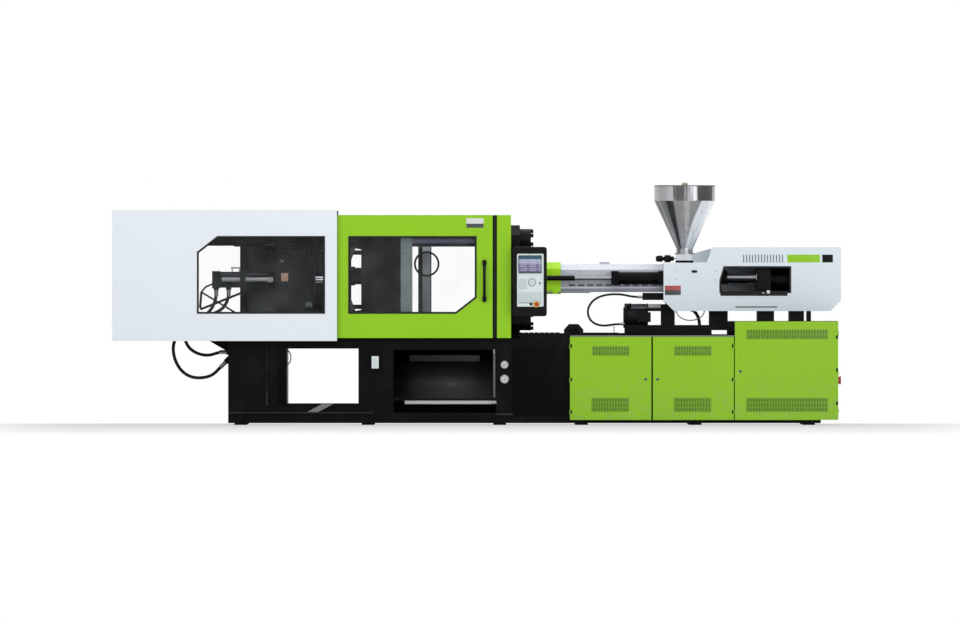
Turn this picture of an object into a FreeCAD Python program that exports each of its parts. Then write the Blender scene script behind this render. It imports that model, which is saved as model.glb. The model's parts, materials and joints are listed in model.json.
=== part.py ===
import FreeCAD, Part
import math
import os
import re
import Sketcher

# Injection moulding machine, millimetres. X runs along the machine from the clamp end
# to the injection end, Y across it (the operator stands at -Y), Z is up. The origin is
# on the floor under the middle of the machine.

SIZES = {
    # heights and the machine's own axis
    "axis_height": 1600, "foot_height": 20, "base_top": 950, "bed_top": 979,
    "cabinet_top": 970, "plinth_top": 55, "support_high": 123,
    # gaps
    "slide_gap": 0.3, "pin_gap": 0.1, "open_gap": 10,
    # sheet metal and depths of the guards, from the platens outwards
    "sheet_metal": 4, "post_gap": 140, "post_size": 60, "rail_depth": 38,
    "gate_gap": 2, "gate_depth": 40, "guard_gap": 20, "guard_depth": 30, "door_depth": 30,
    # lengths along the machine
    "machine_left": -4015, "machine_right": 4015, "base_left": -2739, "base_right": 1023,
    "pump_bay": 911, "cabinet_step": 2838, "cabinet_right": 3975, "rack_bay": 886,
    # the base's plates, its openings and what is fixed to it
    "side_plate": 40, "cross_plate": 40, "base_flange": 37, "deck_plate": 29,
    "opening_left": -2091, "opening_right": -1305, "opening_low": 231, "opening_high": 840,
    "recess_left": -921, "recess_right": 214, "recess_low": 134, "recess_high": 829,
    "chute_low": 270, "chute_thick": 20, "shelf_long": 143, "shelf_half": 700,
    "shelf_thick": 28, "socket_left": -1163, "socket_right": -1078, "socket_low": 618,
    "socket_high": 761, "socket_deep": 45,
    # platens and tie bars
    "platen_size": 1200, "platen_corner": 110, "platen_foot": 150,
    "cheek_long": 311, "cheek_thick": 70,
    "fixed_face": 187, "fixed_thick": 286,
    "moving_face": -715, "moving_thick": 250, "tail_face": -1790, "tail_thick": 432,
    "tie_dia": 150, "tie_offset": 440, "tie_left": -2680, "nut_dia": 240, "nut_thick": 121,
    "nut_bolt": 34, "nut_bolt_high": 28, "nut_bolt_ring": 95, "adjust_nut_dia": 250,
    "adjust_nut_thick": 110,
    "mould_bolt": 24, "mould_bolt_deep": 60, "mould_wide": 350, "mould_narrow": 210,
    "locating_bore": 200, "locating_deep": 40, "nozzle_bore": 170,
    # toggle: two equal links and a small link as long as its arm on the rear link
    "toggle_offset": 430, "toggle_link": 366, "toggle_open": 70, "tail_ear": 150,
    "small_link": 210, "small_lead": 20,
    "eye_radius": 72, "small_eye": 44, "toggle_pin": 90, "small_pin": 50,
    "plate_thick": 60, "plate_gap": 5, "inner_plate": 120, "small_plate": 30,
    "arm_thick": 40, "arm_inner": 40, "web_near": 165, "web_long": 85, "web_half": 34,
    # crosshead, its rod, guide rods and cylinder
    "crosshead_half": 60, "boss_half": 90, "rod_dia": 80, "guide_dia": 50, "guide_offset": 300,
    "guide_long": 595, "clamp_cylinder_left": -2926, "clamp_bore": 125, "clamp_barrel": 150,
    "clamp_cap": 190, "clamp_cap_long": 90, "clamp_piston_long": 60, "clamp_tie_rod": 18,
    # ejector
    "ejector_gap": 170, "ejector_plate": 40, "ejector_half": 190, "ejector_high": 120,
    "ejector_rod": 60, "ejector_pitch": 140, "ejector_guide": 40,
    # guards and gates
    "guard_right": -1540, "guard_low": 924, "guard_high": 2365,
    "gate_right": 172, "gate_low": 957, "gate_high": 2310,
    "post_left": 220, "post_right": 374,
    "front_window_left": -3070, "front_window_right": -1682, "window_high": 2068,
    "window_low": 1234, "window_chamfer_wide": 217, "window_chamfer_high": 170,
    "gate_window_left": -1406, "gate_window_right": -14,
    "rear_window_left": -3650, "rear_window_right": -2618, "mullion_left": -642,
    "mullion_right": -517, "pane": 5, "pane_lap": 16,
    "handle_x": 81, "handle_low": 1390, "handle_high": 1780, "handle_bar": 22,
    "handle_reach": 55,
    # control panel
    "panel_left": 400, "panel_wide": 364, "panel_low": 1200, "panel_tall": 755,
    "panel_deep": 85, "panel_gap": 25, "panel_round": 24, "panel_recess": 8,
    "hinge_x": 394, "hinge_pin": 14, "estop_x": 655, "estop_z": 1328, "estop_dia": 44, "estop_stem": 26,
    # purge guard and barrel cover
    "purge_right": 924, "purge_half": 204, "purge_low": 1441, "purge_high": 1793,
    "purge_chamfer": 70, "purge_rod": 16, "purge_travel": 300,
    "cover_right": 2080, "cover_half": 180, "cover_low": 1463, "cover_high": 1771,
    "cover_chamfer": 62,
    # plasticising unit
    "nozzle_tip": 300, "barrel_left": 560, "barrel_dia": 170, "barrel_bore": 70,
    "screw_gap": 0.05, "throat_left": 2080, "throat_right": 2500, "throat_half": 150,
    "throat_low": 1330, "throat_top": 1782, "feed_bore": 90, "hopper_x": 2294,
    "hopper_rim": 335, "hopper_wall": 3, "hopper_top": 2631, "hopper_drum": 161,
    "hopper_bottom": 1944, "hopper_throat": 91, "feed_block_high": 98, "lid_hinge": 14,
    "lid_pin": 8,
    "injection_offset": 230, "injection_rise": 28, "injection_dia": 150,
    "injection_bore": 120, "injection_left": 2200, "injection_right": 2761,
    "injection_rod": 70, "thrust_left": 3080, "thrust_thick": 160, "injection_floor": 1262,
    "floor_thick": 24, "thrust_guide": 30,
    # seat cylinders
    "seat_offset": 290, "seat_rise": 17, "seat_left": 1482, "seat_cap_long": 80,
    "seat_dia": 135, "seat_bore": 100, "seat_rod": 44, "seat_sleeve": 56,
    "seat_sleeve_right": 1078, "seat_forward": 100,
    # injection housing
    "housing_left": 2057, "housing_low": 1254, "housing_high": 1958, "housing_half": 385,
    "housing_shoulder": 2530, "housing_slope": 74, "housing_corner": 115,
    "housing_window_left": 2684, "housing_window_right": 3454, "housing_window_low": 1463,
    "housing_window_high": 1738,
    # carriage
    "rail_high": 33, "rail_wide": 60, "rail_offset": 300, "rail_left": 1529,
    "rail_right": 2590, "column_left": 2030,
    "carriage_left": 1640, "carriage_right": 2780, "slider_high": 30, "beam_high": 58,
    "support_left": 3091, "support_right": 3278, "support_far_left": 3443,
    "support_far_right": 3685,
    "motor_left": 1628, "motor_right": 1889, "motor_dia": 320, "motor_z": 1182,
    "manifold_left": 1826, "manifold_low": 1375, "manifold_high": 1455, "manifold_y": 190,
    # hoses
    "hose_dia": 24, "big_hose": 36, "port_dia": 60,
    # thin pieces on the base
    "drain_dia": 55, "drain_z": 258, "drain_left": -796, "gauge_x": 303,
    "gauge_high_z": 663, "gauge_low_z": 505, "gauge_dia": 95, "gauge_deep": 32,
    "foot_side": 140, "foot_in": 100, "ear_root": 130, "eye_share": 0.4142,
    "vent_pitch": 50, "vent_slot": 18,
    "chain_left": 462, "chain_pitch": 57, "loop_left": 957, "chain_y": -560,
}

# Values that follow from the ones above, each a formula on their names.
PLACES = {
    "platen_half": "platen_size / 2",
    "platen_low": "axis_height - platen_half",
    "platen_high": "axis_height + platen_half",
    "fixed_back": "fixed_face + fixed_thick",
    "moving_back": "moving_face - moving_thick",
    "tail_back": "tail_face - tail_thick",
    "tall_cabinet_top": "injection_floor - support_high",
    "cabinet_middle": "cabinet_step - pump_bay",
    "hopper_shoulder": "hopper_top - hopper_drum",
    "post_in": "platen_half + post_gap",
    "post_out": "post_in + post_size",
    "base_half": "post_out",
    "rail_out": "post_out + rail_depth",
    "gate_in": "rail_out + gate_gap",
    "gate_out": "gate_in + gate_depth",
    "gate_left": "guard_right",
    "guard_in": "gate_out + guard_gap",
    "guard_out": "guard_in + guard_depth",
    "door_out": "base_half + door_depth",
    "tie_right": "fixed_back + nut_thick",
    "pivot_a": "tail_face + tail_ear",
    "link_reach": "toggle_link * cos(toggle_open * 1 deg)",
    "link_drop": "toggle_link * sin(toggle_open * 1 deg)",
    "pivot_b": "pivot_a + link_reach",
    "pivot_b_offset": "toggle_offset - link_drop",
    "pivot_c": "pivot_a + 2 * link_reach",
    "pivot_d": "pivot_a + small_link * cos((toggle_open + small_lead) * 1 deg)",
    "pivot_d_offset": "toggle_offset - small_link * sin((toggle_open + small_lead) * 1 deg)",
    "pivot_e": "pivot_a + 2 * small_link * cos((toggle_open + small_lead) * 1 deg)",
    "middle_plate": "inner_plate + plate_thick + plate_gap",
    "outer_plate": "middle_plate + plate_thick + plate_gap",
    "outer_end": "outer_plate + plate_thick",
    "arm_outer": "arm_inner + arm_thick",
    "small_inner": "arm_outer + plate_gap",
    "small_outer": "small_inner + small_plate",
    "cover_left": "purge_right",
    "injection_z": "axis_height + injection_rise",
    "seat_z": "axis_height + seat_rise",
    "rail_top": "bed_top + rail_high",
    "slider_top": "rail_top + slider_high",
    "beam_top": "slider_top + beam_high",
    "thrust_right": "thrust_left + thrust_thick",
    "panel_back": "gate_out + panel_gap",
    "panel_front": "panel_back + panel_deep",
    "hinge_y": "gate_out + open_gap",
    "feed_top": "throat_top + feed_block_high",
    "floor_top": "injection_floor + floor_thick",
    "guide_top": "floor_top + thrust_guide",
}

# The points of each hose's route are chosen by hand, from its port to its fitting.
LONG_HOSE = [(-2774, -250, 690), (-2841, -250, 623), (-2904, -249, 558), (-2981, -247, 523),
             (-3091, -243, 519), (-3175, -238, 550), (-3242, -231, 610), (-3286, -222, 692),
             (-3313, -210, 790), (-3312, -194, 890), (-3275, -174, 985), (-3205, -150, 1065),
             (-3110, -112, 1140), (-3035, -84, 1188), (-2958, -52, 1242), (-2910, -20, 1318),
             (-2881, 0, 1402), (-2881, 0, 1490)]
SHORT_HOSE = [(-2769, 120, 800), (-2850, 120, 800), (-2944, 120, 766), (-3030, 119, 766),
              (-3109, 116, 799), (-3170, 111, 860), (-3203, 104, 939), (-3203, 94, 1025),
              (-3170, 83, 1104), (-3109, 71, 1165), (-3023, 58, 1205), (-2915, 40, 1224),
              (-2833, 22, 1262), (-2774, 8, 1327), (-2744, 0, 1410), (-2744, 0, 1490)]
LOOP_HOSE = [(1826, -190, 1408), (1730, -190, 1408), (1600, -200, 1438), (1470, -210, 1440),
             (1350, -216, 1415), (1268, -218, 1360), (1222, -216, 1280), (1226, -208, 1198),
             (1268, -194, 1132), (1346, -172, 1095), (1435, -145, 1092), (1530, -125, 1110),
             (1628, -125, 1110)]

doc = FreeCAD.newDocument("injection_moulding_machine")
sizes = doc.addObject("Spreadsheet::Sheet", "sizes")
places = doc.addObject("Spreadsheet::Sheet", "places")
nodes = []
Vector = FreeCAD.Vector


def spell(formula):
    """Write each word of a formula as the cell that holds it."""
    def cell(match):
        word = match.group(0)
        if word in SIZES:
            return "sizes." + word
        return "places." + word if word in PLACES else word
    return re.sub(r"[a-z_]+", cell, str(formula))


for row, (alias, number) in enumerate(SIZES.items(), start=1):
    sizes.set(f"A{row}", str(number))
    sizes.setAlias(f"A{row}", alias)
doc.recompute()
for row, (alias, formula) in enumerate(PLACES.items(), start=1):
    places.set(f"A{row}", "=" + spell(formula))
    places.setAlias(f"A{row}", alias)
doc.recompute()


def size(alias):
    """The number in a cell of either sheet."""
    return float(getattr(sizes if alias in SIZES else places, alias))


def feature(kind, **links):
    """Add an object of the document and set its plain properties."""
    item = doc.addObject(kind, "piece")
    for key, content in links.items():
        setattr(item, key, content)
    return item


def bind(item, **formulas):
    """Tie an object's properties to the sheets; x, y and z are its place."""
    for key, formula in formulas.items():
        path = f"Placement.Base.{key}" if key in ("x", "y", "z") else key
        item.setExpression(path, spell(formula))
    return item


def block(x, y, z):
    """A block between a low and a high formula along each axis."""
    item = feature("Part::Box")
    bind(item, Length=f"({x[1]}) - ({x[0]})", Width=f"({y[1]}) - ({y[0]})",
         Height=f"({z[1]}) - ({z[0]})", x=x[0], y=y[0], z=z[0])
    return item


TURNS = {"x": FreeCAD.Rotation(Vector(0, 1, 0), 90), "y": FreeCAD.Rotation(Vector(1, 0, 0), -90),
         "z": FreeCAD.Rotation()}
ACROSS = {"x": ("y", "z"), "y": ("x", "z"), "z": ("x", "y")}


def lay(item, axis, at, start):
    """Turn an upright object along an axis and bind where it starts."""
    item.Placement = FreeCAD.Placement(Vector(), TURNS[axis])
    first, second = ACROSS[axis]
    return bind(item, **{axis: start, first: at[0], second: at[1]})


def rod(axis, at, span, diameter):
    """A round bar along an axis, at the two other coordinates."""
    item = feature("Part::Cylinder")
    bind(item, Radius=f"({diameter}) / 2", Height=f"({span[1]}) - ({span[0]})")
    return lay(item, axis, at, span[0])


def hex_head(axis, at, span, across):
    """A six-sided bolt head."""
    item = feature("Part::Prism", Polygon=6)
    bind(item, Circumradius=f"({across}) * 0.577", Height=f"({span[1]}) - ({span[0]})")
    return lay(item, axis, at, span[0])


def cone(axis, at, span, low_diameter, high_diameter):
    """A tapered bar along an axis."""
    item = feature("Part::Cone")
    bind(item, Radius1=f"({low_diameter}) / 2", Radius2=f"({high_diameter}) / 2",
         Height=f"({span[1]}) - ({span[0]})")
    return lay(item, axis, at, span[0])


def sketch(body, role, loops):
    """Closed outlines on one of the body's own planes, each corner held by two formulas."""
    item = body.newObject("Sketcher::SketchObject", "outline")
    plane = next(entry for entry in body.Origin.OriginFeatures if entry.Role == role)
    item.AttachmentSupport = [(plane, "")]
    item.MapMode = "FlatFace"
    for corners in loops:
        first = item.GeometryCount
        count = len(corners)
        start = [Vector(math.cos(2 * math.pi * step / count), math.sin(2 * math.pi * step / count))
                 for step in range(count)]
        for step in range(count):
            item.addGeometry(Part.LineSegment(start[step], start[(step + 1) % count]), False)
        for step in range(count):
            item.addConstraint(Sketcher.Constraint("Coincident", first + step, 2,
                                                   first + (step + 1) % count, 1))
        for step, corner in enumerate(corners):
            for kind, formula, guess in zip(("DistanceX", "DistanceY"), corner,
                                            (start[step].x, start[step].y)):
                held = item.addConstraint(Sketcher.Constraint(kind, -1, 1, first + step, 1, guess))
                item.setExpression(f"Constraints[{held}]", spell(formula))
    return item


def plate(plane, loops, span):
    """A flat piece: outlines on XY, XZ or YZ, padded between two formulas."""
    body = doc.addObject("PartDesign::Body", "piece")
    profile = sketch(body, plane + "_Plane", loops)
    pad = body.newObject("PartDesign::Pad", "pad")
    pad.Profile = profile
    bind(pad, Length=f"({span[1]}) - ({span[0]})")
    if plane == "XZ":
        bind(body, y=span[1])
    elif plane == "YZ":
        bind(body, x=span[0])
    else:
        bind(body, z=span[0])
    return body


def turned(axis, at, profile):
    """A turned piece: (along, radius) corners revolved about an axis."""
    body = doc.addObject("PartDesign::Body", "piece")
    if axis == "z":
        outline = sketch(body, "XZ_Plane", [[(radius, along) for along, radius in profile]])
        line = "V_Axis"
    else:
        outline = sketch(body, "XY_Plane", [profile])
        line = "H_Axis"
    turn = body.newObject("PartDesign::Revolution", "turn")
    turn.Profile = outline
    turn.ReferenceAxis = (outline, [line])
    turn.Angle = 360
    first, second = ACROSS[axis]
    return bind(body, **{first: at[0], second: at[1]})


def join(*parts):
    """One solid from touching parts."""
    return feature("Part::MultiFuse", Shapes=list(parts), Refine=True)


def group(*parts):
    """Several separate solids kept together."""
    return feature("Part::Compound", Links=list(parts))


def carve(base, *tools):
    """Cut tools that don't meet each other out of a base."""
    tool = tools[0] if len(tools) == 1 else group(*tools)
    return feature("Part::Cut", Base=base, Tool=tool, Refine=True)


def node(name, part):
    """Name a finished sub-part."""
    part.Label = name
    nodes.append(part)
    return part


def minus(span):
    """A span mirrored to the other side of the machine."""
    return f"-({span[1]})", f"-({span[0]})"


def sided(sign, low, high):
    """A span on the far side (1) or on the operator's side (-1)."""
    return (low, high) if sign > 0 else minus((low, high))


def about(sign, low, high):
    """A span above (1) or below (-1) the machine's axis."""
    if sign > 0:
        return f"axis_height + ({low})", f"axis_height + ({high})"
    return f"axis_height - ({high})", f"axis_height - ({low})"


def corner_places(offset):
    """The four places round the axis at an offset in Y and Z."""
    return [(f"{y} * ({offset})", f"axis_height + {z} * ({offset})")
            for y in (-1, 1) for z in (-1, 1)]


def rectangle(left, right, low, high):
    """Corners of an upright rectangle."""
    return [(left, low), (right, low), (right, high), (left, high)]


def tray(outer, hole, sign, inside, outside):
    """A folded sheet cover with returned edges and a window, open to the machine's side."""
    left, right, low, high = outer
    skin = plate("XZ", [rectangle(left, right, low, high)] + hole,
                 sided(sign, f"({outside}) - sheet_metal", outside))
    inner = rectangle(f"({left}) + sheet_metal", f"({right}) - sheet_metal",
                      f"({low}) + sheet_metal", f"({high}) - sheet_metal")
    edge = plate("XZ", [rectangle(left, right, low, high), inner],
                 sided(sign, inside, f"({outside}) - sheet_metal"))
    return join(skin, edge)


# ---------------------------------------------------------------- base and frames

def make_base():
    """Welded base: two side plates with openings, cross plates, flanges and a drop chute."""
    low, high = "foot_height", "base_top"
    side_outline = [("base_left", low), ("base_right", low), ("base_right", "bed_top"),
                    ("fixed_back", "bed_top"), ("fixed_back", high), ("base_left", high)]
    inner = "base_half - side_plate"
    under = "base_top - base_flange"
    through = rectangle("opening_left", "opening_right", "opening_low", "opening_high")
    recess = rectangle("recess_left", "recess_right", "recess_low", "recess_high")
    parts = []
    for sign in (-1, 1):
        openings = [through, recess] if sign < 0 else [through]
        parts.append(plate("XZ", [side_outline] + openings, sided(sign, inner, "base_half")))
        parts.append(block(("base_left", "fixed_back"),
                           sided(sign, "platen_half - platen_foot", inner), (under, "base_top")))
    inside = (f"-({inner})", inner)
    for left in ("base_left", "opening_left - cross_plate", "opening_right",
                 "recess_left - cross_plate", "recess_right", "base_right - cross_plate"):
        parts.append(block((left, f"{left} + cross_plate"), inside, (low, under)))
    parts.append(block(("fixed_back", "base_right"), inside, ("bed_top - deck_plate", "bed_top")))
    parts.append(block(("fixed_back", "fixed_back + cross_plate"), inside,
                       (low, "bed_top - deck_plate")))
    chute_high = "recess_high - chute_thick - 9"
    parts.append(plate("YZ", [[(inner, chute_high), (inner, f"{chute_high} + chute_thick"),
                               ("10 - base_half", "chute_low + chute_thick"),
                               ("10 - base_half", "chute_low")]], ("recess_left", "recess_right")))
    parts.append(block(("base_left - shelf_long", "base_left"), ("-shelf_half", "shelf_half"),
                       (f"{under} - shelf_thick", under)))
    for left in ("base_left + 20", "guard_right - 60"):
        for sign in (-1, 1):
            parts.append(block((left, f"{left} + 40"),
                               sided(sign, "base_half", "guard_out - sheet_metal"),
                               ("guard_low + sheet_metal", "base_top")))
    port_x, port_y, port_z = LONG_HOSE[0]
    elbow = feature("Part::Cylinder")
    bind(elbow, Radius="port_dia / 2", Height="80", x=f"{port_x} + 80 * cos(45 * 1 deg)", y=port_y,
         z=f"{port_z} + 80 * sin(45 * 1 deg)")
    elbow.Placement.Rotation = FreeCAD.Rotation(Vector(0, 1, 0), 225)
    return node("base_frame", join(*parts, elbow))


def make_injection_frame():
    """Frame under the injection unit: plinth, posts and the two decks."""
    half = "base_half"
    last_post = "cabinet_step + rack_bay"
    parts = [carve(block(("base_right", f"{last_post} + 60"), ("20 - base_half", "base_half - 20"),
                         ("foot_height", "plinth_top")),
                   block(("base_right + 60", last_post), ("80 - base_half", "base_half - 80"),
                         ("foot_height", "plinth_top"))),
             *[block((left, f"{left} + 60"), ("80 - base_half", "base_half - 80"),
                     ("foot_height", "plinth_top")) for left in ("cabinet_middle", "cabinet_step")],
             block(("base_right", "cabinet_step"), (f"-{half}", half), ("bed_top - 25", "bed_top")),
             block(("cabinet_step", "cabinet_right - sheet_metal"), (f"-{half}", half),
                   ("tall_cabinet_top - 24", "tall_cabinet_top + 5"))]
    for left, top in (("base_right", "bed_top - 25"), ("cabinet_middle - 30", "bed_top - 25"),
                      ("cabinet_step", "tall_cabinet_top - 24"),
                      (last_post, "tall_cabinet_top - 24")):
        for sign in (-1, 1):
            parts.append(block((left, f"{left} + 60"), sided(sign, "base_half - 80",
                                                              "base_half - 20"),
                               ("plinth_top", top)))
    return node("injection_frame", join(*parts))


def make_feet():
    """Square levelling pads under the base and the plinth."""
    parts = []
    for x in ("base_left + 139", "opening_right + 105", "recess_right + 36", "base_right + 127",
              "cabinet_step - 438", "cabinet_step + rack_bay - 74"):
        for sign in (-1, 1):
            middle = f"{sign} * (base_half - foot_in)"
            parts.append(block((f"{x} - foot_side / 2", f"{x} + foot_side / 2"),
                               (f"{middle} - foot_side / 2", f"{middle} + foot_side / 2"),
                               ("0", "foot_height")))
    return node("levelling_feet", group(*parts))


def make_fittings():
    """Two gauges, a socket box and the drain pipe on the base's operator side."""
    front = "-base_half"
    parts = [block(("socket_left", "socket_right"), (f"{front} - socket_deep", front),
                   ("socket_low", "socket_high")),
             turned("x", ("80 - base_half", "drain_z"),
                    [("drain_left", "0"), ("recess_right", "0"), ("recess_right", "drain_dia / 2"),
                     ("drain_left", "drain_dia / 2")])]
    _, port_y, port_z = SHORT_HOSE[0]
    parts.append(rod("x", (port_y, port_z), ("base_left - 30", "base_left"), "port_dia"))
    for height, diameter in (("gauge_high_z", "gauge_dia * 0.9"), ("gauge_low_z", "gauge_dia")):
        bezel = rod("y", ("gauge_x", height), (f"{front} - gauge_deep", front), diameter)
        dial = rod("y", ("gauge_x", height), (f"{front} - gauge_deep", f"{front} - gauge_deep + 8"),
                   f"{diameter} - 12")
        parts.append(carve(bezel, dial))
    return node("base_fittings", group(*parts))


# ---------------------------------------------------------------- platens and tie bars

def platen_outline():
    """Square platen with cut corners, on YZ."""
    half, low, high, cut = "platen_half", "platen_low", "platen_high", "platen_corner"
    return [(f"-{half}", f"{low} + {cut}"), (f"{cut} - {half}", low), (f"{half} - {cut}", low),
            (half, f"{low} + {cut}"), (half, f"{high} - {cut}"), (f"{half} - {cut}", high),
            (f"{cut} - {half}", high), (f"-{half}", f"{high} - {cut}")]


def platen_feet(left, right, low="base_top"):
    """The two shoes that a platen stands or slides on."""
    return [block((left, right), sided(sign, "platen_half - platen_foot", "platen_half - platen_corner"),
                  (low, "platen_low + 60")) for sign in (-1, 1)]


def tie_holes(left, right):
    """Bores for the four tie bars."""
    return [rod("x", place, (left, right), "tie_dia + 2 * slide_gap")
            for place in corner_places("tie_offset")]


def mould_holes(span):
    """Tapped holes for clamping a mould: a wide and a tall rectangle of four."""
    return [rod("x", (f"{y} * {across}", f"axis_height + {z} * {up}"), span, "mould_bolt")
            for across, up in (("mould_wide", "mould_narrow"), ("mould_narrow", "mould_wide"))
            for y in (-1, 1) for z in (-1, 1)]


def make_fixed_platen():
    """Fixed platen with the locating bore, nozzle opening and tapped holes."""
    body = plate("YZ", [platen_outline()], ("fixed_face", "fixed_back"))
    whole = join(body, *platen_feet("fixed_face", "fixed_back"))
    return node("fixed_platen", carve(
        whole, *tie_holes("fixed_face", "fixed_back"),
        *mould_holes(("fixed_face", "fixed_face + mould_bolt_deep")),
        rod("x", ("0", "axis_height"), ("fixed_face", "fixed_face + locating_deep"),
            "locating_bore"),
        cone("x", ("0", "axis_height"), ("fixed_face + locating_deep", "fixed_back"),
             "nozzle_bore", "nozzle_bore + 140")))


def make_tie_bars():
    """Four tie bars, screwed into their nuts behind the fixed platen."""
    return node("tie_bars", group(*[rod("x", place, ("tie_left", "fixed_back"), "tie_dia")
                                    for place in corner_places("tie_offset")]))


def make_tie_nuts():
    """Closed nuts behind the fixed platen, each with a ring of clamping bolts."""
    parts = []
    for y, z in corner_places("tie_offset"):
        heads = []
        for step in range(6):
            turn = f"{60 * step + 30} * 1 deg"
            heads.append(hex_head("x", (f"{y} + nut_bolt_ring * cos({turn})",
                                        f"{z} + nut_bolt_ring * sin({turn})"),
                                  ("tie_right", "tie_right + nut_bolt_high"), "nut_bolt"))
        parts.append(join(rod("x", (y, z), ("fixed_back", "tie_right"), "nut_dia"), *heads))
    return node("tie_bar_nuts", group(*parts))


def eyed(at, side_of, radius):
    """Half of an eight-sided eye about a place, opening along X."""
    x, z = at
    near, far = f"{side_of} * eye_share * ({radius})", f"{side_of} * ({radius})"
    return [(f"{x} + {near}", f"{z} - ({radius})"), (f"{x} + {far}", f"{z} - eye_share * ({radius})"),
            (f"{x} + {far}", f"{z} + eye_share * ({radius})"), (f"{x} + {near}", f"{z} + {radius}")]


def ears(sign, x_root, x_pivot, layer, spread, toward):
    """The two flame-cut ears of one toggle at one layer, from a platen to the pivot."""
    z = f"axis_height + {sign} * toggle_offset"
    outline = [(x_root, f"{z} - {spread}")] + eyed((x_pivot, z), toward, "eye_radius")
    outline.append((x_root, f"{z} + {spread}"))
    return [plate("XZ", [outline], sided(side, layer, f"{layer} + plate_thick"))
            for side in (-1, 1)]


def pins(x_pivot, offset, low, high, diameter, signs=(-1, 1)):
    """Toggle pins, one on each side of the machine."""
    return [rod("y", (x_pivot, f"axis_height + {sign} * ({offset})"), sided(side, low, high),
                diameter) for sign in signs for side in (-1, 1)]


def make_tail_platen():
    """Tail platen with its ears and their pins, and the crosshead's guide rods."""
    parts = [plate("YZ", [platen_outline()], ("tail_back", "tail_face")),
             *platen_feet("tail_back", "tail_face")]
    for sign in (-1, 1):
        parts += ears(sign, "tail_face", "pivot_a", "middle_plate", 130, 1)
    parts += pins("pivot_a", "toggle_offset", "inner_plate", "outer_end", "toggle_pin")
    parts += [rod("x", ("0", f"axis_height + {sign} * guide_offset"),
                  ("tail_face", "tail_face + guide_long"), "guide_dia") for sign in (-1, 1)]
    return node("tail_platen", carve(
        join(*parts), *tie_holes("tail_back", "tail_face"),
        rod("x", ("0", "axis_height"), ("tail_back", "tail_face"), "rod_dia + 20")))


def make_adjusting_nuts():
    """The four many-sided mould-height nuts on the tie bars, behind the tail platen."""
    parts = []
    for place in corner_places("tie_offset"):
        span = ("tail_back - adjust_nut_thick", "tail_back")
        collar = feature("Part::Prism", Polygon=12)
        bind(collar, Circumradius="adjust_nut_dia / 2", Height="adjust_nut_thick")
        lay(collar, "x", place, span[0])
        parts.append(carve(collar, rod("x", place, span, "tie_dia + 2 * slide_gap")))
    return node("adjusting_nuts", group(*parts))


def make_moving_platen():
    """Moving platen with side cheeks, two ears per toggle, their pins and ejector guides."""
    parts = [plate("YZ", [platen_outline()], ("moving_back", "moving_face")),
             *platen_feet("moving_back", "moving_face", "base_top + slide_gap")]
    parts += [block(("moving_back - cheek_long", "moving_back"),
                    sided(side, "platen_half - cheek_thick", "platen_half"),
                    ("platen_low + platen_corner", "platen_high - platen_corner"))
              for side in (-1, 1)]
    for sign in (-1, 1):
        for layer in ("inner_plate", "outer_plate"):
            parts += ears(sign, "moving_back", "pivot_c", layer, 150, -1)
        for side in (-1, 1):
            parts.append(block(("moving_back - ear_root", "moving_back"),
                               sided(side, "inner_plate", "outer_end"),
                               about(sign, "toggle_offset - 150", "toggle_offset + 150")))
    parts += pins("pivot_c", "toggle_offset", "inner_plate", "outer_end", "toggle_pin")
    parts += [rod("x", (f"{side} * ejector_pitch", "axis_height"),
                  ("moving_back - ejector_gap - ejector_plate - 60", "moving_back"),
                  "ejector_guide") for side in (-1, 1)]
    return node("moving_platen", carve(
        join(*parts), *tie_holes("moving_back - ear_root", "moving_face"),
        *mould_holes(("moving_face - mould_bolt_deep", "moving_face")),
        rod("x", ("0", "axis_height"), ("moving_back", "moving_face"),
            "ejector_rod + 2 * slide_gap")))


# ---------------------------------------------------------------- toggle

def link_plate(ends, layer, thick, radius, side):
    """A flame-cut link: a strip between two pivots with eight-sided ends."""
    (x_one, z_one), (x_two, z_two) = ends
    run_x, run_z = f"(({x_two}) - ({x_one}))", f"(({z_two}) - ({z_one}))"
    length = f"sqrt({run_x} ^ 2 + {run_z} ^ 2)"

    def corner(at, along, across):
        return (f"{at[0]} + ({radius}) * ({along} * {run_x} - {across} * {run_z}) / {length}",
                f"{at[1]} + ({radius}) * ({along} * {run_z} + {across} * {run_x}) / {length}")
    share = "eye_share"
    outline = [corner(ends[0], f"-{share}", "-1"), corner(ends[1], share, "-1"),
               corner(ends[1], "1", f"-{share}"), corner(ends[1], "1", share),
               corner(ends[1], share, "1"), corner(ends[0], f"-{share}", "1"),
               corner(ends[0], "-1", share), corner(ends[0], "-1", f"-{share}")]
    return plate("XZ", [outline], sided(side, layer, f"{layer} + {thick}"))


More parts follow.
